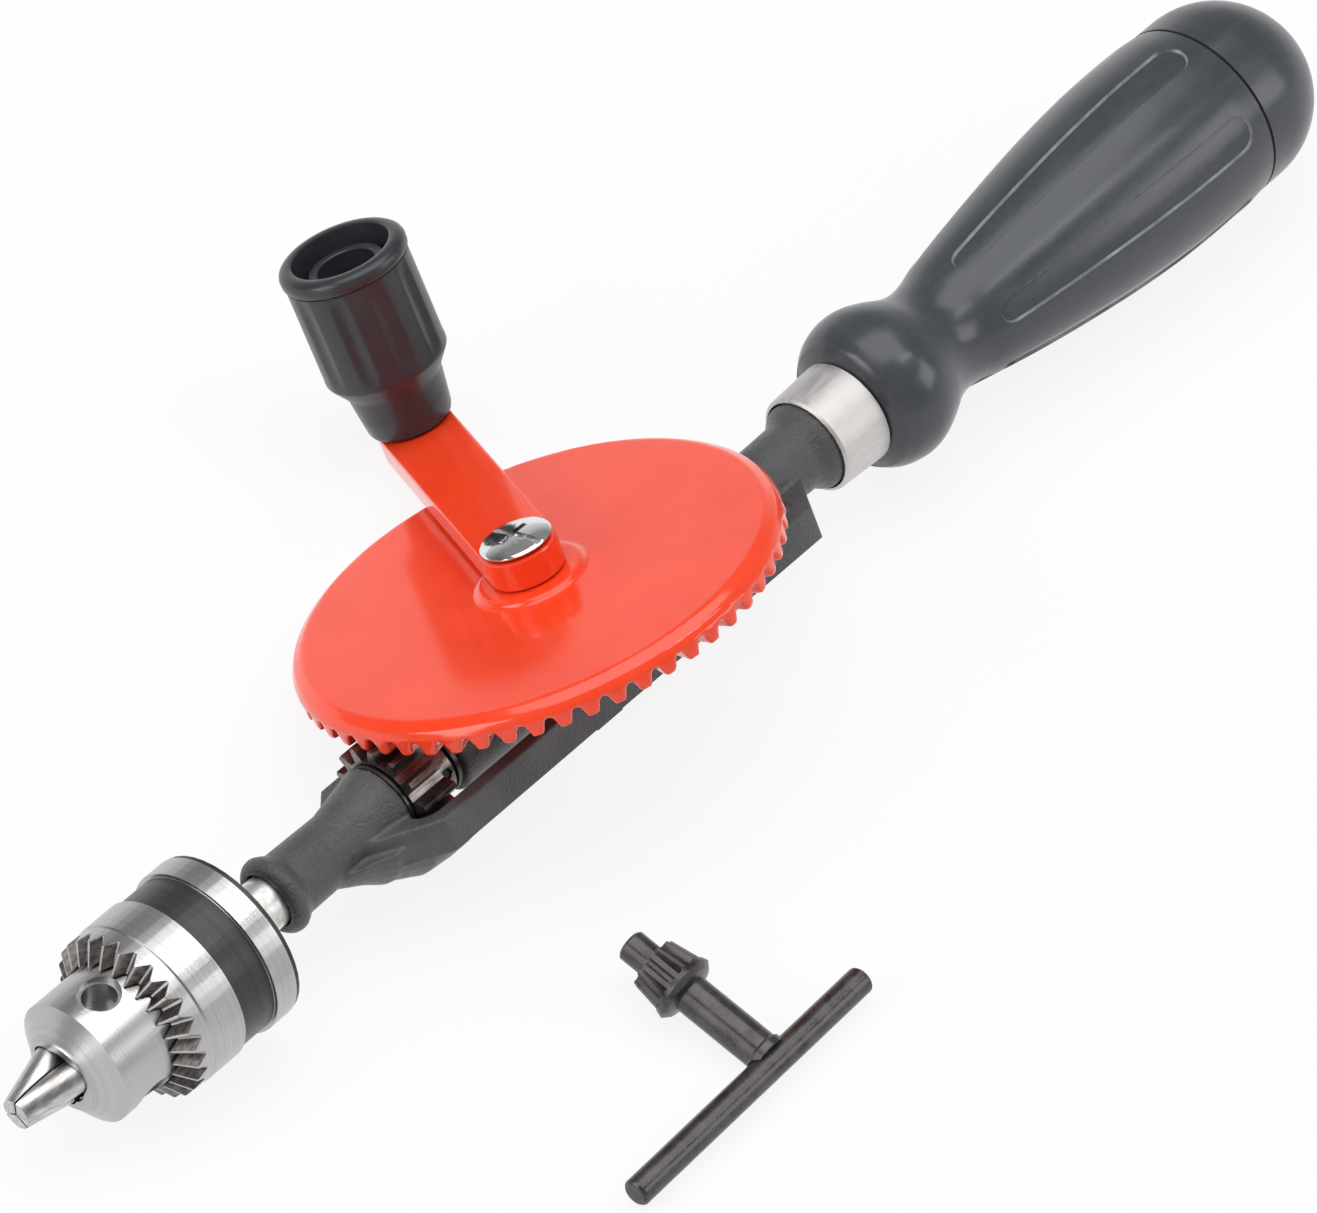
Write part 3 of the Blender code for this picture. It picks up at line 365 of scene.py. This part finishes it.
def add_noise(finish, scale, detail, stretch=(1, 1, 1), source=None, rough=0.55):
    """Noise along the drill's axes, or along a given direction socket."""
    tree = finish.node_tree
    squeeze = add_node(tree, "ShaderNodeVectorMath", {1: stretch}, operation="MULTIPLY")
    noise = add_node(tree, "ShaderNodeTexNoise",
                     {"Scale": scale, "Detail": detail, "Roughness": rough})
    tree.links.new(source or tree.nodes["drill_axes"].outputs[0], squeeze.inputs[0])
    tree.links.new(squeeze.outputs[0], noise.inputs["Vector"])
    return noise.outputs["Fac"]


def lathe_lines(finish):
    """Coordinates that change only along the spindle and away from it, as lathe marks do."""
    tree = finish.node_tree
    split = add_node(tree, "ShaderNodeSeparateXYZ")
    across = add_node(tree, "ShaderNodeCombineXYZ")
    length = add_node(tree, "ShaderNodeVectorMath", operation="LENGTH")
    along = add_node(tree, "ShaderNodeCombineXYZ")
    tree.links.new(tree.nodes["drill_axes"].outputs[0], split.inputs[0])
    tree.links.new(split.outputs["Y"], across.inputs[0])
    tree.links.new(split.outputs["Z"], across.inputs[1])
    tree.links.new(across.outputs[0], length.inputs[0])
    tree.links.new(split.outputs["X"], along.inputs[0])
    tree.links.new(length.outputs["Value"], along.inputs[1])
    return along.outputs[0]


# %% Colour, polish and bump


def spread(finish, factor, low, high):
    """Stretch a factor between two values."""
    ranged = add_node(finish.node_tree, "ShaderNodeMapRange",
                      {"From Min": 0.3, "From Max": 0.7, "To Min": low, "To Max": high})
    finish.node_tree.links.new(factor, ranged.inputs["Value"])
    return ranged.outputs["Result"]


def tint(finish, factor, first, second, low=0.35, high=0.65):
    """Mix two colours by a factor into the base colour."""
    tree = finish.node_tree
    ramp = add_node(tree, "ShaderNodeValToRGB")
    first_stop, second_stop = ramp.color_ramp.elements
    first_stop.position, first_stop.color = low, (*first, 1)
    second_stop.position, second_stop.color = high, (*second, 1)
    tree.links.new(factor, ramp.inputs["Fac"])
    shader = tree.nodes["Principled BSDF"]
    tree.links.new(ramp.outputs["Color"], shader.inputs["Base Color"])


def set_roughness(finish, factor, low, high):
    """Vary how polished the surface is."""
    shader = finish.node_tree.nodes["Principled BSDF"]
    finish.node_tree.links.new(spread(finish, factor, low, high), shader.inputs["Roughness"])


def add_bump(finish, factor, depth, strength=1.0):
    """Raise and lower the surface by a depth in millimetres, over any earlier bump."""
    tree = finish.node_tree
    shader = tree.nodes["Principled BSDF"]
    bump = add_node(tree, "ShaderNodeBump", {"Distance": depth * MM, "Strength": strength})
    tree.links.new(factor, bump.inputs["Height"])
    if shader.inputs["Normal"].is_linked:
        tree.links.new(shader.inputs["Normal"].links[0].from_socket, bump.inputs["Normal"])
    tree.links.new(bump.outputs["Normal"], shader.inputs["Normal"])


def brush_round(finish, amount):
    """Stretch the highlights across lathe marks that run round the spindle."""
    tree = finish.node_tree
    tangent = add_node(tree, "ShaderNodeTangent", direction_type="RADIAL", axis="X")
    shader = tree.nodes["Principled BSDF"]
    shader.inputs["Anisotropic"].default_value = amount
    tree.links.new(tangent.outputs["Tangent"], shader.inputs["Tangent"])


# %% [markdown]
# ### Painted castings
# The frame is cast in sand and sprayed in a dark grey satin paint, so fine sand grain still
# shows. The gear and the arm carry a thick red enamel: glossy, with a slightly wavy skin.

# %% Castings
cast_paint = new_finish("cast_grey_paint", (0.075, 0.077, 0.08), 0.42)
sand = add_noise(cast_paint, 1500, 4)
blotch = add_noise(cast_paint, 90, 3)
tint(cast_paint, blotch, (0.064, 0.066, 0.069), (0.09, 0.092, 0.095))
set_roughness(cast_paint, sand, 0.26, 0.5)
add_bump(cast_paint, sand, 0.34, 0.9)
add_bump(cast_paint, add_noise(cast_paint, 260, 2), 0.2, 0.3)

enamel = new_finish("red_enamel", (0.92, 0.058, 0.014), 0.36, coat=1.0)
pool = add_noise(enamel, 60, 2)
tint(enamel, pool, (0.9, 0.053, 0.012), (0.94, 0.064, 0.017))
enamel.node_tree.nodes["Principled BSDF"].inputs["Specular IOR Level"].default_value = 0.1
set_roughness(enamel, add_noise(enamel, 300, 3), 0.3, 0.42)
add_bump(enamel, add_noise(enamel, 120, 2), 0.12, 0.3)
print("painted finishes:", cast_paint.name, enamel.name)

# %% [markdown]
# ### Turned and ground steel
# The chuck is bare steel from the lathe. Its marks run round the spindle, which stretches each
# highlight into a clean bar. The noise therefore reads only the distance along the spindle and
# the distance away from it. The jaws are ground and the teeth are cut, so their scratches run
# along the spindle instead. The teeth are darker, and on the sleeve's flanks this is painted
# shade.

# %% Steels
turned_steel = new_finish("turned_steel", (0.47, 0.47, 0.467), 0.28, metallic=1.0)
rings = add_noise(turned_steel, 2600, 3, stretch=(1, 0.12, 1), source=lathe_lines(turned_steel))
smear = add_noise(turned_steel, 45, 2)
tint(turned_steel, rings, (0.43, 0.43, 0.427), (0.49, 0.49, 0.486))
set_roughness(turned_steel, smear, 0.25, 0.31)
add_bump(turned_steel, rings, 0.003, 0.6)
brush_round(turned_steel, 0.5)

ground_steel = new_finish("ground_steel", (0.6, 0.59, 0.58), 0.3, metallic=1.0)
scratches = add_noise(ground_steel, 500, 4, stretch=(0.3, 3, 3))
tint(ground_steel, scratches, (0.42, 0.405, 0.395), (0.66, 0.65, 0.64))
set_roughness(ground_steel, add_noise(ground_steel, 200, 3), 0.24, 0.42)
add_bump(ground_steel, scratches, 0.02, 0.6)

# On the sleeve's tooth flanks this dark steel stands for painted shade.
cut_steel_and_shade = new_finish("cut_gear_steel_and_painted_shade", (0.2, 0.18, 0.175), 0.33, metallic=1.0)
marks = add_noise(cut_steel_and_shade, 800, 4, stretch=(0.25, 2, 2))
tint(cut_steel_and_shade, marks, (0.13, 0.112, 0.108), (0.3, 0.275, 0.268))
set_roughness(cut_steel_and_shade, add_noise(cut_steel_and_shade, 300, 2), 0.25, 0.45)
add_bump(cut_steel_and_shade, marks, 0.03, 0.6)

black_band = new_finish("blackened_band", (0.045, 0.045, 0.046), 0.34, metallic=0.35)
rings = add_noise(black_band, 2200, 3, stretch=(1, 0.12, 1), source=lathe_lines(black_band))
tint(black_band, rings, (0.036, 0.036, 0.037), (0.056, 0.056, 0.057))
set_roughness(black_band, add_noise(black_band, 150, 3), 0.3, 0.42)
add_bump(black_band, rings, 0.004, 0.6)
print("steels:", [steel.name for steel in (turned_steel, ground_steel, cut_steel_and_shade, black_band)])

# %% [markdown]
# ### Plated and blackened small parts
# The screw is bright plated, the spindle is zinc plated and a little stained, and the ferrule
# is a rolled strip with a warm brushed face. The key has an oiled black oxide skin.

# %% Plating and oxide
zinc = new_finish("zinc_plate", (0.72, 0.73, 0.71), 0.25, metallic=1.0)
stain = add_noise(zinc, 320, 4)
tint(zinc, stain, (0.5, 0.53, 0.48), (0.8, 0.81, 0.79), 0.34, 0.52)
set_roughness(zinc, stain, 0.5, 0.3)
add_bump(zinc, add_noise(zinc, 900, 2), 0.02, 0.4)

chrome = new_finish("bright_plate", (0.78, 0.79, 0.8), 0.1, metallic=1.0)
set_roughness(chrome, add_noise(chrome, 350, 3), 0.06, 0.2)
add_bump(chrome, add_noise(chrome, 500, 3), 0.02, 0.35)

ferrule_steel = new_finish("brushed_ferrule", (0.66, 0.64, 0.63), 0.42, metallic=1.0)
brush = add_noise(ferrule_steel, 420, 4, stretch=(0.6, 2.4, 2.4))
tint(ferrule_steel, brush, (0.6, 0.578, 0.568), (0.7, 0.685, 0.675))
set_roughness(ferrule_steel, brush, 0.46, 0.6)
add_bump(ferrule_steel, brush, 0.015, 0.6)

oxide = new_finish("black_oxide", (0.07, 0.064, 0.064), 0.3, metallic=0.6)
oil = add_noise(oxide, 260, 5, rough=0.65)
tint(oxide, oil, (0.045, 0.039, 0.04), (0.115, 0.108, 0.108), 0.3, 0.7)
set_roughness(oxide, oil, 0.2, 0.42)
add_bump(oxide, add_noise(oxide, 1300, 3), 0.02, 0.5)
print("plated and oiled:", [skin.name for skin in (zinc, chrome, ferrule_steel, oxide)])

# %% [markdown]
# ### Moulded plastics
# The handle is a blue-grey plastic with a soft shine and a few scuffs from handling. The knob
# is nearly black. Both have a faint waviness from the mould. The walls of the sunk panels get
# a paler colour as a painted highlight, and the seam before the end cap gets painted shade.

# %% Plastics
slate_plastic = new_finish("slate_plastic", (0.052, 0.058, 0.068), 0.25)
scuff = add_noise(slate_plastic, 130, 5, stretch=(0.5, 1.6, 1.6), rough=0.7)
tint(slate_plastic, scuff, (0.047, 0.053, 0.063), (0.06, 0.066, 0.076), 0.4, 0.74)
set_roughness(slate_plastic, scuff, 0.19, 0.32)
add_bump(slate_plastic, add_noise(slate_plastic, 110, 2), 0.14, 0.3)
add_bump(slate_plastic, add_noise(slate_plastic, 1600, 2), 0.012, 0.5)

# The panel walls get this paler plastic as a painted highlight.
edge_highlight = new_finish("painted_highlight_plastic_edge", (0.16, 0.17, 0.18), 0.28)
highlight_patches = add_noise(edge_highlight, 160, 3, rough=0.6)
tint(edge_highlight, highlight_patches, (0.085, 0.092, 0.1), (0.24, 0.25, 0.265))
set_roughness(edge_highlight, add_noise(edge_highlight, 500, 3), 0.22, 0.36)

# The seam in front of the end cap gets this near-black as painted shade.
painted_seam_shade = new_finish("painted_seam_shade", (0.004, 0.004, 0.004), 0.8)
tint(painted_seam_shade, add_noise(painted_seam_shade, 600, 3), (0.003, 0.003, 0.003), (0.007, 0.007, 0.007))

knob_plastic = new_finish("black_plastic", (0.03, 0.032, 0.036), 0.3)
scuff = add_noise(knob_plastic, 190, 5, rough=0.7)
tint(knob_plastic, scuff, (0.026, 0.028, 0.032), (0.034, 0.036, 0.041), 0.3, 0.75)
set_roughness(knob_plastic, scuff, 0.26, 0.36)
add_bump(knob_plastic, add_noise(knob_plastic, 240, 2), 0.07, 0.3)
add_bump(knob_plastic, add_noise(knob_plastic, 1500, 2), 0.012, 0.5)
print("finishes in all:", len(bpy.data.materials))

# %% [markdown]
# ## The frame casting
# A sand casting has no sharp edge anywhere: every rim is rounded and every inner corner is
# filled. Rounding each edge by hand would be slow, so a copy of the frame is remeshed into
# even small squares and then smoothed, which wears the outer edges and fills the inner ones
# just as the mould does.

# %% Frame casting


def recast(piece, grain, passes, keep):
    """Give a piece the soft edges and filled corners of a casting.

    It is turned to the drill's axes first, so that the small squares lie along its flat faces.
    """
    piece.data.transform(drill.inverted())
    apply_modifier(piece, "REMESH", mode="VOXEL", voxel_size=grain * MM, adaptivity=0)
    apply_modifier(piece, "SMOOTH", factor=0.5, iterations=passes)
    piece.data.transform(drill)
    apply_modifier(piece, "DECIMATE", ratio=keep)


casting = copy_of("frame_casting", "frame_cast_skin")
recast(casting, 0.4, 2, 0.4)
dress(casting, "frame", "iron", cast_paint, "frame_casting", angle=70)

# %% [markdown]
# ## The gear and its arm
# The gear is cast as well, under thick enamel that rounds the teeth further. At its hub a low
# collar with a wall that leans inwards carries the arm. The collar is turned from one short
# outline, joined to a copy of the gear, and the two become one skin in the remesh.

# %% A helper for turned shapes


def turned(name, outline, base, around, steps):
    """Draw an outline by extruding one point, then spin it round an axis."""
    bpy.ops.object.select_all(action="DESELECT")
    bpy.ops.mesh.primitive_plane_add(size=0.001, location=(0, 0, 0))
    piece = bpy.context.active_object
    piece.name = name
    bpy.ops.object.mode_set(mode="EDIT")
    bpy.ops.mesh.select_mode(type="VERT")
    bpy.ops.mesh.select_all(action="SELECT")
    bpy.ops.mesh.merge(type="CENTER")
    if around == "Z":
        places = [at(radius, 0, along, base) for along, radius in outline]
    else:
        places = [at(along, 0, radius, base) for along, radius in outline]
    bpy.ops.transform.translate(value=places[0])
    for here, there in zip(places, places[1:]):
        bpy.ops.mesh.extrude_vertices_move(TRANSFORM_OT_translate={"value": there - here})
    bpy.ops.mesh.select_all(action="SELECT")
    axis = base.to_3x3() @ Vector((0, 0, 1) if around == "Z" else (1, 0, 0))
    bpy.ops.mesh.spin(steps=steps, angle=2 * math.pi, center=base.translation, axis=axis)
    bpy.ops.mesh.select_all(action="SELECT")
    bpy.ops.mesh.remove_doubles(threshold=0.000002)
    bpy.ops.mesh.normals_make_consistent(inside=False)
    bpy.ops.object.mode_set(mode="OBJECT")
    return piece


# %% Gear with its hub collar
gear = copy_of("drive_gear", "gear_enamelled")
collar_outline = ((15.9, 8.0), (15.9, 11.0), (17.0, 10.7), (17.85, 10.15), (17.85, 8.0))
collar = turned("hub_collar", collar_outline + collar_outline[:1], drill, "Z", 64)
hold(gear)
collar.select_set(True)
bpy.ops.object.join()
recast(gear, 0.4, 2, 0.45)

# %% Softer teeth
tooth_top, tooth_root = 13.7, 45.6


def on_teeth(face):
    """True where a face of the gear lies on its ring of teeth."""
    spot = in_drill(face.center)
    return spot.z < tooth_top and spot.xy.length > tooth_root


tooth_faces = pick_faces(gear, on_teeth)
bpy.ops.mesh.vertices_smooth(factor=0.5, repeat=6)
print("faces softened on the teeth:", tooth_faces)
bpy.ops.object.mode_set(mode="OBJECT")
dress(gear, "crank", "red", enamel, "drive_gear", angle=60)

# %% Crank arm
arm = filed_copy("crank_arm", "arm_enamelled", 0.25)
dress(arm, "crank", "red", enamel, "crank_arm", flat=True)

# %% [markdown]
# ## The handle
# The handle is hollow plastic: a full swell at the back, a slim neck, a bulge in front, and
# six long sunk panels with rounded ends. It is drawn as one outline and spun round the
# spindle line. The outline is given at a few places, as a share of the handle's length and a
# radius in millimetres, and a smooth line is passed through them.

# %% Handle outline
handle_front, handle_back = -80.8, -185.8
handle_points = ((0.010, 13.4), (0.036, 15.2), (0.075, 16.2), (0.110, 15.9), (0.148, 14.45),
                 (0.186, 12.5), (0.222, 11.6), (0.262, 11.8), (0.306, 12.95), (0.33, 13.5),
                 (0.42, 15.2), (0.535, 17.0), (0.66, 18.6), (0.78, 19.6), (0.88, 19.87),
                 (0.94, 19.8), (0.965, 19.65), (1.0, 19.3))


def smooth_outline(points, step):
    """Pass a smooth line through the given points, at even steps."""
    line = []
    for index in range(len(points) - 1):
        before = points[max(index - 1, 0)]
        first, second = points[index], points[index + 1]
        after = points[min(index + 2, len(points) - 1)]
        rise_in = (second[1] - before[1]) / (second[0] - before[0])
        rise_out = (after[1] - first[1]) / (after[0] - first[0])
        width = second[0] - first[0]
        count = max(1, round(width / step))
        for part in range(count):
            t = part / count
            value = (first[1] * (2 * t ** 3 - 3 * t ** 2 + 1)
                     + second[1] * (3 * t ** 2 - 2 * t ** 3)
                     + rise_in * width * (t ** 3 - 2 * t ** 2 + t)
                     + rise_out * width * (t ** 3 - t ** 2))
            line.append((first[0] + width * t, value))
    return line + [points[-1]]


handle_length = handle_front - handle_back
outer = [(handle_front - handle_length * along, radius)
         for along, radius in smooth_outline(handle_points, 0.0095)]
inner = [(handle_back, 13.1), (-133.8, 13.1), (-133.8, 5.3), (-72.0, 5.3), (-72.0, 9.3),
         (handle_front, 9.3)]
handle = turned("handle_moulded", outer + inner + outer[:1], drill, "X", 168)
print("handle outline has", len(outer), "points")

# %% [markdown]
# ### Sunk panels
# The faces that lie inside a panel's rounded shape are picked by their place. These faces are
# the squares of the mesh, so their rim is ragged at the rounded ends: each point on the rim is
# therefore moved onto the panel's true outline. An inset then sinks the panels and leaves a
# crisp wall round each.

# %% The shape of a panel
panel_count, panel_first = 6, math.radians(7.5)
panel_half = math.radians(10.9)
panel_start, panel_middle, panel_end = -113.5, -147.5, -181.6
hollow_radius = 13.15


def outer_radius(x):
    """The handle's radius at a place along it, read off the outline."""
    for (here, radius), (there, after) in zip(outer, outer[1:]):
        if there <= x <= here:
            return radius + (after - radius) * (here - x) / (here - there)
    return outer[-1][1]


def panel_spot(point):
    """The middle angle of the nearest panel, the place along it and the turn off its middle."""
    spot = in_drill(point)
    pitch = 2 * math.pi / panel_count
    angle = math.atan2(spot.z, spot.y) - panel_first
    middle = round(angle / pitch) * pitch
    return middle + panel_first, spot.x, angle - middle


def on_rim(x, turn):
    """The point of a panel's outline that is nearest to a place along it and a turn."""
    for end, inward in ((panel_start, -1), (panel_end, 1)):
        half = panel_half * outer_radius(end)
        centre = end + inward * half
        if (x - centre) * inward < 0:
            across = turn * outer_radius(x)
            share = half / max(math.hypot(x - centre, across), 0.001)
            new_x = centre + (x - centre) * share
            return new_x, across * share / outer_radius(new_x)
    return x, math.copysign(panel_half, turn)


def in_panel(face):
    """True where a face of the handle lies inside one of the long rounded panels."""
    spot = in_drill(face.center)
    if math.hypot(spot.y, spot.z) < hollow_radius or not panel_end < spot.x < panel_start:
        return False
    _, x, turn = panel_spot(face.center)
    rim_x, rim_turn = on_rim(x, turn)
    in_length = abs(x - panel_middle) <= abs(rim_x - panel_middle) + 0.001
    return abs(turn) <= abs(rim_turn) and in_length


# %% Sinking the panels
wall_width, panel_depth = 0.34, 0.55

sunk = pick_faces(handle, in_panel)
bpy.ops.object.mode_set(mode="OBJECT")
uses = {}
for face in handle.data.polygons:
    for key in face.edge_keys:
        uses.setdefault(key, set()).add(face.select)
rim = {index for key, sides in uses.items() if len(sides) == 2 for index in key}
for index in rim:
    middle, x, turn = panel_spot(handle.data.vertices[index].co)
    x, turn = on_rim(x, turn)
    radius = outer_radius(x)
    place = at(x, radius * math.cos(middle + turn), radius * math.sin(middle + turn))
    handle.data.vertices[index].co = place
bpy.ops.object.mode_set(mode="EDIT")
bpy.ops.mesh.inset(thickness=wall_width * MM, depth=-panel_depth * MM, use_even_offset=True)
bpy.ops.object.mode_set(mode="OBJECT")
print("faces in the panels:", sunk, "points on their rims:", len(rim))

# %% Finishes of the handle
least_drop, deepest, seam_width = 0.25, 0.9, 0.12

for finish in (slate_plastic, edge_highlight, painted_seam_shade):
    handle.data.materials.append(finish)
for face in handle.data.polygons:
    spots = [in_drill(handle.data.vertices[index].co) for index in face.vertices]
    depths = [outer_radius(spot.x) - math.hypot(spot.y, spot.z) for spot in spots]
    # Steep faces of the panel walls get the paler painted highlight.
    if max(depths) - min(depths) > least_drop and max(depths) < deepest:
        face.material_index = 1
    # Faces at the seam in front of the cap get painted shade.
    if in_drill(face.center).x < handle_back + seam_width:
        face.material_index = 2
dress(handle, "frame", "handle", slate_plastic, "handle_shell", angle=50)

# %% [markdown]
# ## The end cap
# The cap is a plain dome that unscrews, with painted shade in the seam where it meets the
# handle.
# Its outline is a short straight wall and a quarter circle, spun round the same line.

# %% End cap
cap_front, dome_x, dome_r = -186.1, -191.8, 19.3
dome = [(dome_x - dome_r * math.sin(math.radians(a)), dome_r * math.cos(math.radians(a)))
        for a in range(0, 90, 5)]
hollow = [(-200.1, 0.0), (-200.1, 10.5), (-179.7, 10.5), (-179.7, 12.8), (cap_front, 12.8)]
rounded_edge = [(cap_front, 18.95), (cap_front - 0.35, dome_r)]
cap_outline = hollow + rounded_edge + dome + [(dome_x - dome_r, 0.0)]
cap = turned("cap_moulded", cap_outline, drill, "X", 120)
cap.data.materials.append(slate_plastic)
cap.data.materials.append(painted_seam_shade)
# The cap's front rim, in the seam, gets painted shade.
for face in cap.data.polygons:
    face.material_index = int(in_drill(face.center).x > cap_front - 0.3)
dress(cap, "cap", "handle", slate_plastic, "handle_cap", angle=40)

# %% [markdown]
# ## Machined and small parts
# A lathe leaves edges crisp but not razor sharp: the turner breaks each with a file. Copies of
# the parts get a narrow bevel on every edge, a wider one where the real part is worn.

# %% Filed small parts
small_parts = (("ferrule", "ferrule_rolled", 0.18, "frame", "satin", ferrule_steel),
               ("spindle", "spindle_plated", 0.15, "spindle_set", "bright", zinc),
               ("drive_pinion", "pinion_cut", 0.2, "spindle_set", "steel", cut_steel_and_shade),
               ("front_washer", "front_washer_flat", 0.1, "frame", "bright", oxide),
               ("rear_washer", "rear_washer_flat", 0.1, "frame", "bright", oxide),
               ("jaw_1", "jaw_1_ground", 0.12, "jaw_a", "satin", ground_steel),
               ("jaw_2", "jaw_2_ground", 0.12, "jaw_b", "satin", ground_steel),
               ("jaw_3", "jaw_3_ground", 0.12, "jaw_c", "satin", ground_steel),
               ("gear_axle", "axle_plated", 0.15, "crank", "bright", zinc),
               ("axle_washer", "axle_washer_flat", 0.12, "crank", "bright", zinc),
               ("axle_nut", "nut_filed", 0.25, "crank", "dark", oxide),
               ("crank_screw", "screw_plated", 0.12, "crank", "screw", chrome),
               ("knob_pin", "knob_pin_plated", 0.15, "crank", "bright", zinc),
               ("key_bar", "key_bar_oiled", 0.2, "key", "dark", oxide),
               ("key_shank", "key_shank_oiled", 0.15, "key", "dark", oxide))
for node, name, width, body, slot, finish in small_parts:
    dress(filed_copy(node, name, width), body, slot, finish, node, flat=True)

# %% [markdown]
# ### Inner parts
# Four parts sit inside others and are never seen whole. They keep their exact shape from the
# frame and only take a finish.

# %% Parts that stay out of sight
hidden_parts = {"thrust_ball": ground_steel, "pinion_pin": oxide, "retaining_screw": oxide,
                "chuck_thrust_ring": zinc}
for node, finish in hidden_parts.items():
    frame["nodes"][node].data.materials.clear()
    frame["nodes"][node].data.materials.append(finish)
print("parts with only a finish:", list(hidden_parts))

# %% [markdown]
# ## The chuck
# The body carries a dark back plate, and the sleeve around it a ring of teeth for the key and a
# broad blackened band in a shallow groove. The photograph shows the plate a little further
# forward and the band a little broader than the frame has them, so their points are slid along
# the spindle. Where a part has two finishes, its faces go to one or the other by their place.

# %% Chuck body
rim_radius = 15
plate_rear, plate_front, plate_end = 88, 90.3, 91.0


def slide(piece, rear, front, distance, wider=0.0):
    """Slide all points between two places along the spindle, and widen the outer ones."""
    for point in piece.data.vertices:
        spot = in_drill(point.co)
        if rear < spot.x < front:
            radius = math.hypot(spot.y, spot.z)
            grow = 1 + wider / radius if radius > rim_radius else 1
            point.co = at(spot.x + distance, spot.y * grow, spot.z * grow)


chuck = filed_copy("chuck_body", "chuck_body_turned", 0.15)
chuck.data.materials.append(turned_steel)
chuck.data.materials.append(black_band)
slide(chuck, plate_rear, plate_front, 0.85, wider=0.95)
for face in chuck.data.polygons:
    face.material_index = int(in_drill(face.center).x < plate_end)
dress(chuck, "spindle_set", "satin", turned_steel, "chuck_body", angle=30, flat=True)

# %% Chuck sleeve with its black band and toothed ring
rear_edge = (90.0, 90.9, 0.8)
groove_rear, groove_front = (97.0, 97.6, -1.45), (102.4, 103.0, 1.2)
band_rear, band_front, band_radius = 95.95, 103.75, 16
teeth_rear, flank_lean = 113.2, 0.25

sleeve = filed_copy("chuck_sleeve", "chuck_sleeve_turned", 0.12)
for finish in (turned_steel, black_band, cut_steel_and_shade):
    sleeve.data.materials.append(finish)
for rear, front, distance in (rear_edge, groove_rear, groove_front):
    slide(sleeve, rear, front, distance)
for face in sleeve.data.polygons:
    spot = in_drill(face.center)
    radius = math.hypot(spot.y, spot.z)
    round_way = (side_way * -spot.z + gear_way * spot.y).normalized()
    if band_rear < spot.x < band_front and radius > band_radius:
        face.material_index = 1
    elif spot.x > teeth_rear and abs(face.normal.dot(round_way)) > flank_lean:
        # Tooth flanks take the dark cut steel as painted shade.
        face.material_index = 2
dress(sleeve, "sleeve", "satin", turned_steel, "chuck_sleeve", angle=30, flat=True)

# %% [markdown]
# ## The knob
# The knob is a moulded plastic grip that spins on its pin. A rounded rim with a deep round
# recess tops a body with ten faint flutes, and a sloping shoulder leads to a narrower neck.
# The outline is spun round the knob's own axis, and the flutes are pressed in afterwards.

# %% Knob outline
wall_radius = 12.3
neck = ((0.0, 3.3), (0.0, 7.3), (0.35, 8.15), (1.2, 8.5), (5.0, 9.0), (9.2, 9.5))
shoulder = ((10.0, 9.85), (13.2, 12.05), (13.6, 12.25))
wall = tuple((height, wall_radius)
             for height in (14.2, 15.4, 18.0, 21.0, 24.0, 27.0, 30.0, 32.8, 34.7))
rim_ring = ((34.85, 12.1), (35.1, 12.4), (35.5, 12.65), (36.7, 12.7), (37.4, 12.45),
            (37.95, 11.8), (38.2, 11.0), (38.2, 10.1), (38.05, 9.8), (37.5, 9.7))
recess = ((29.7, 9.7), (29.7, 7.5), (34.8, 7.5), (35.1, 7.3), (35.1, 6.0), (34.9, 5.7))
bore = ((15.5, 5.7), (15.5, 3.3))
knob_outline = neck + shoulder + wall + rim_ring + recess + bore
knob = turned("knob_moulded", knob_outline + knob_outline[:1], knob_way, "Z", 160)
print("knob outline has", len(knob_outline), "points")

# %% Knob flutes
flute_count, flute_depth = 10, 0.42
flute_foot, flute_top, foot_ease, top_ease = 14.1, 34.2, 3, 2

for point in knob.data.vertices:
    spot = (knob_way.inverted() @ point.co) / MM
    on_wall = math.hypot(spot.x, spot.y) > wall_radius - 0.02
    if on_wall and flute_foot < spot.z < flute_top:
        wave = max(0.0, math.cos(math.atan2(spot.y, spot.x) * flute_count))
        ease = min(1.0, (spot.z - flute_foot) / foot_ease, (flute_top - spot.z) / top_ease)
        keep = 1 - flute_depth * wave * ease / wall_radius
        point.co = at(spot.x * keep, spot.y * keep, spot.z, knob_way)
dress(knob, "grip", "knob", knob_plastic, "knob", angle=32)
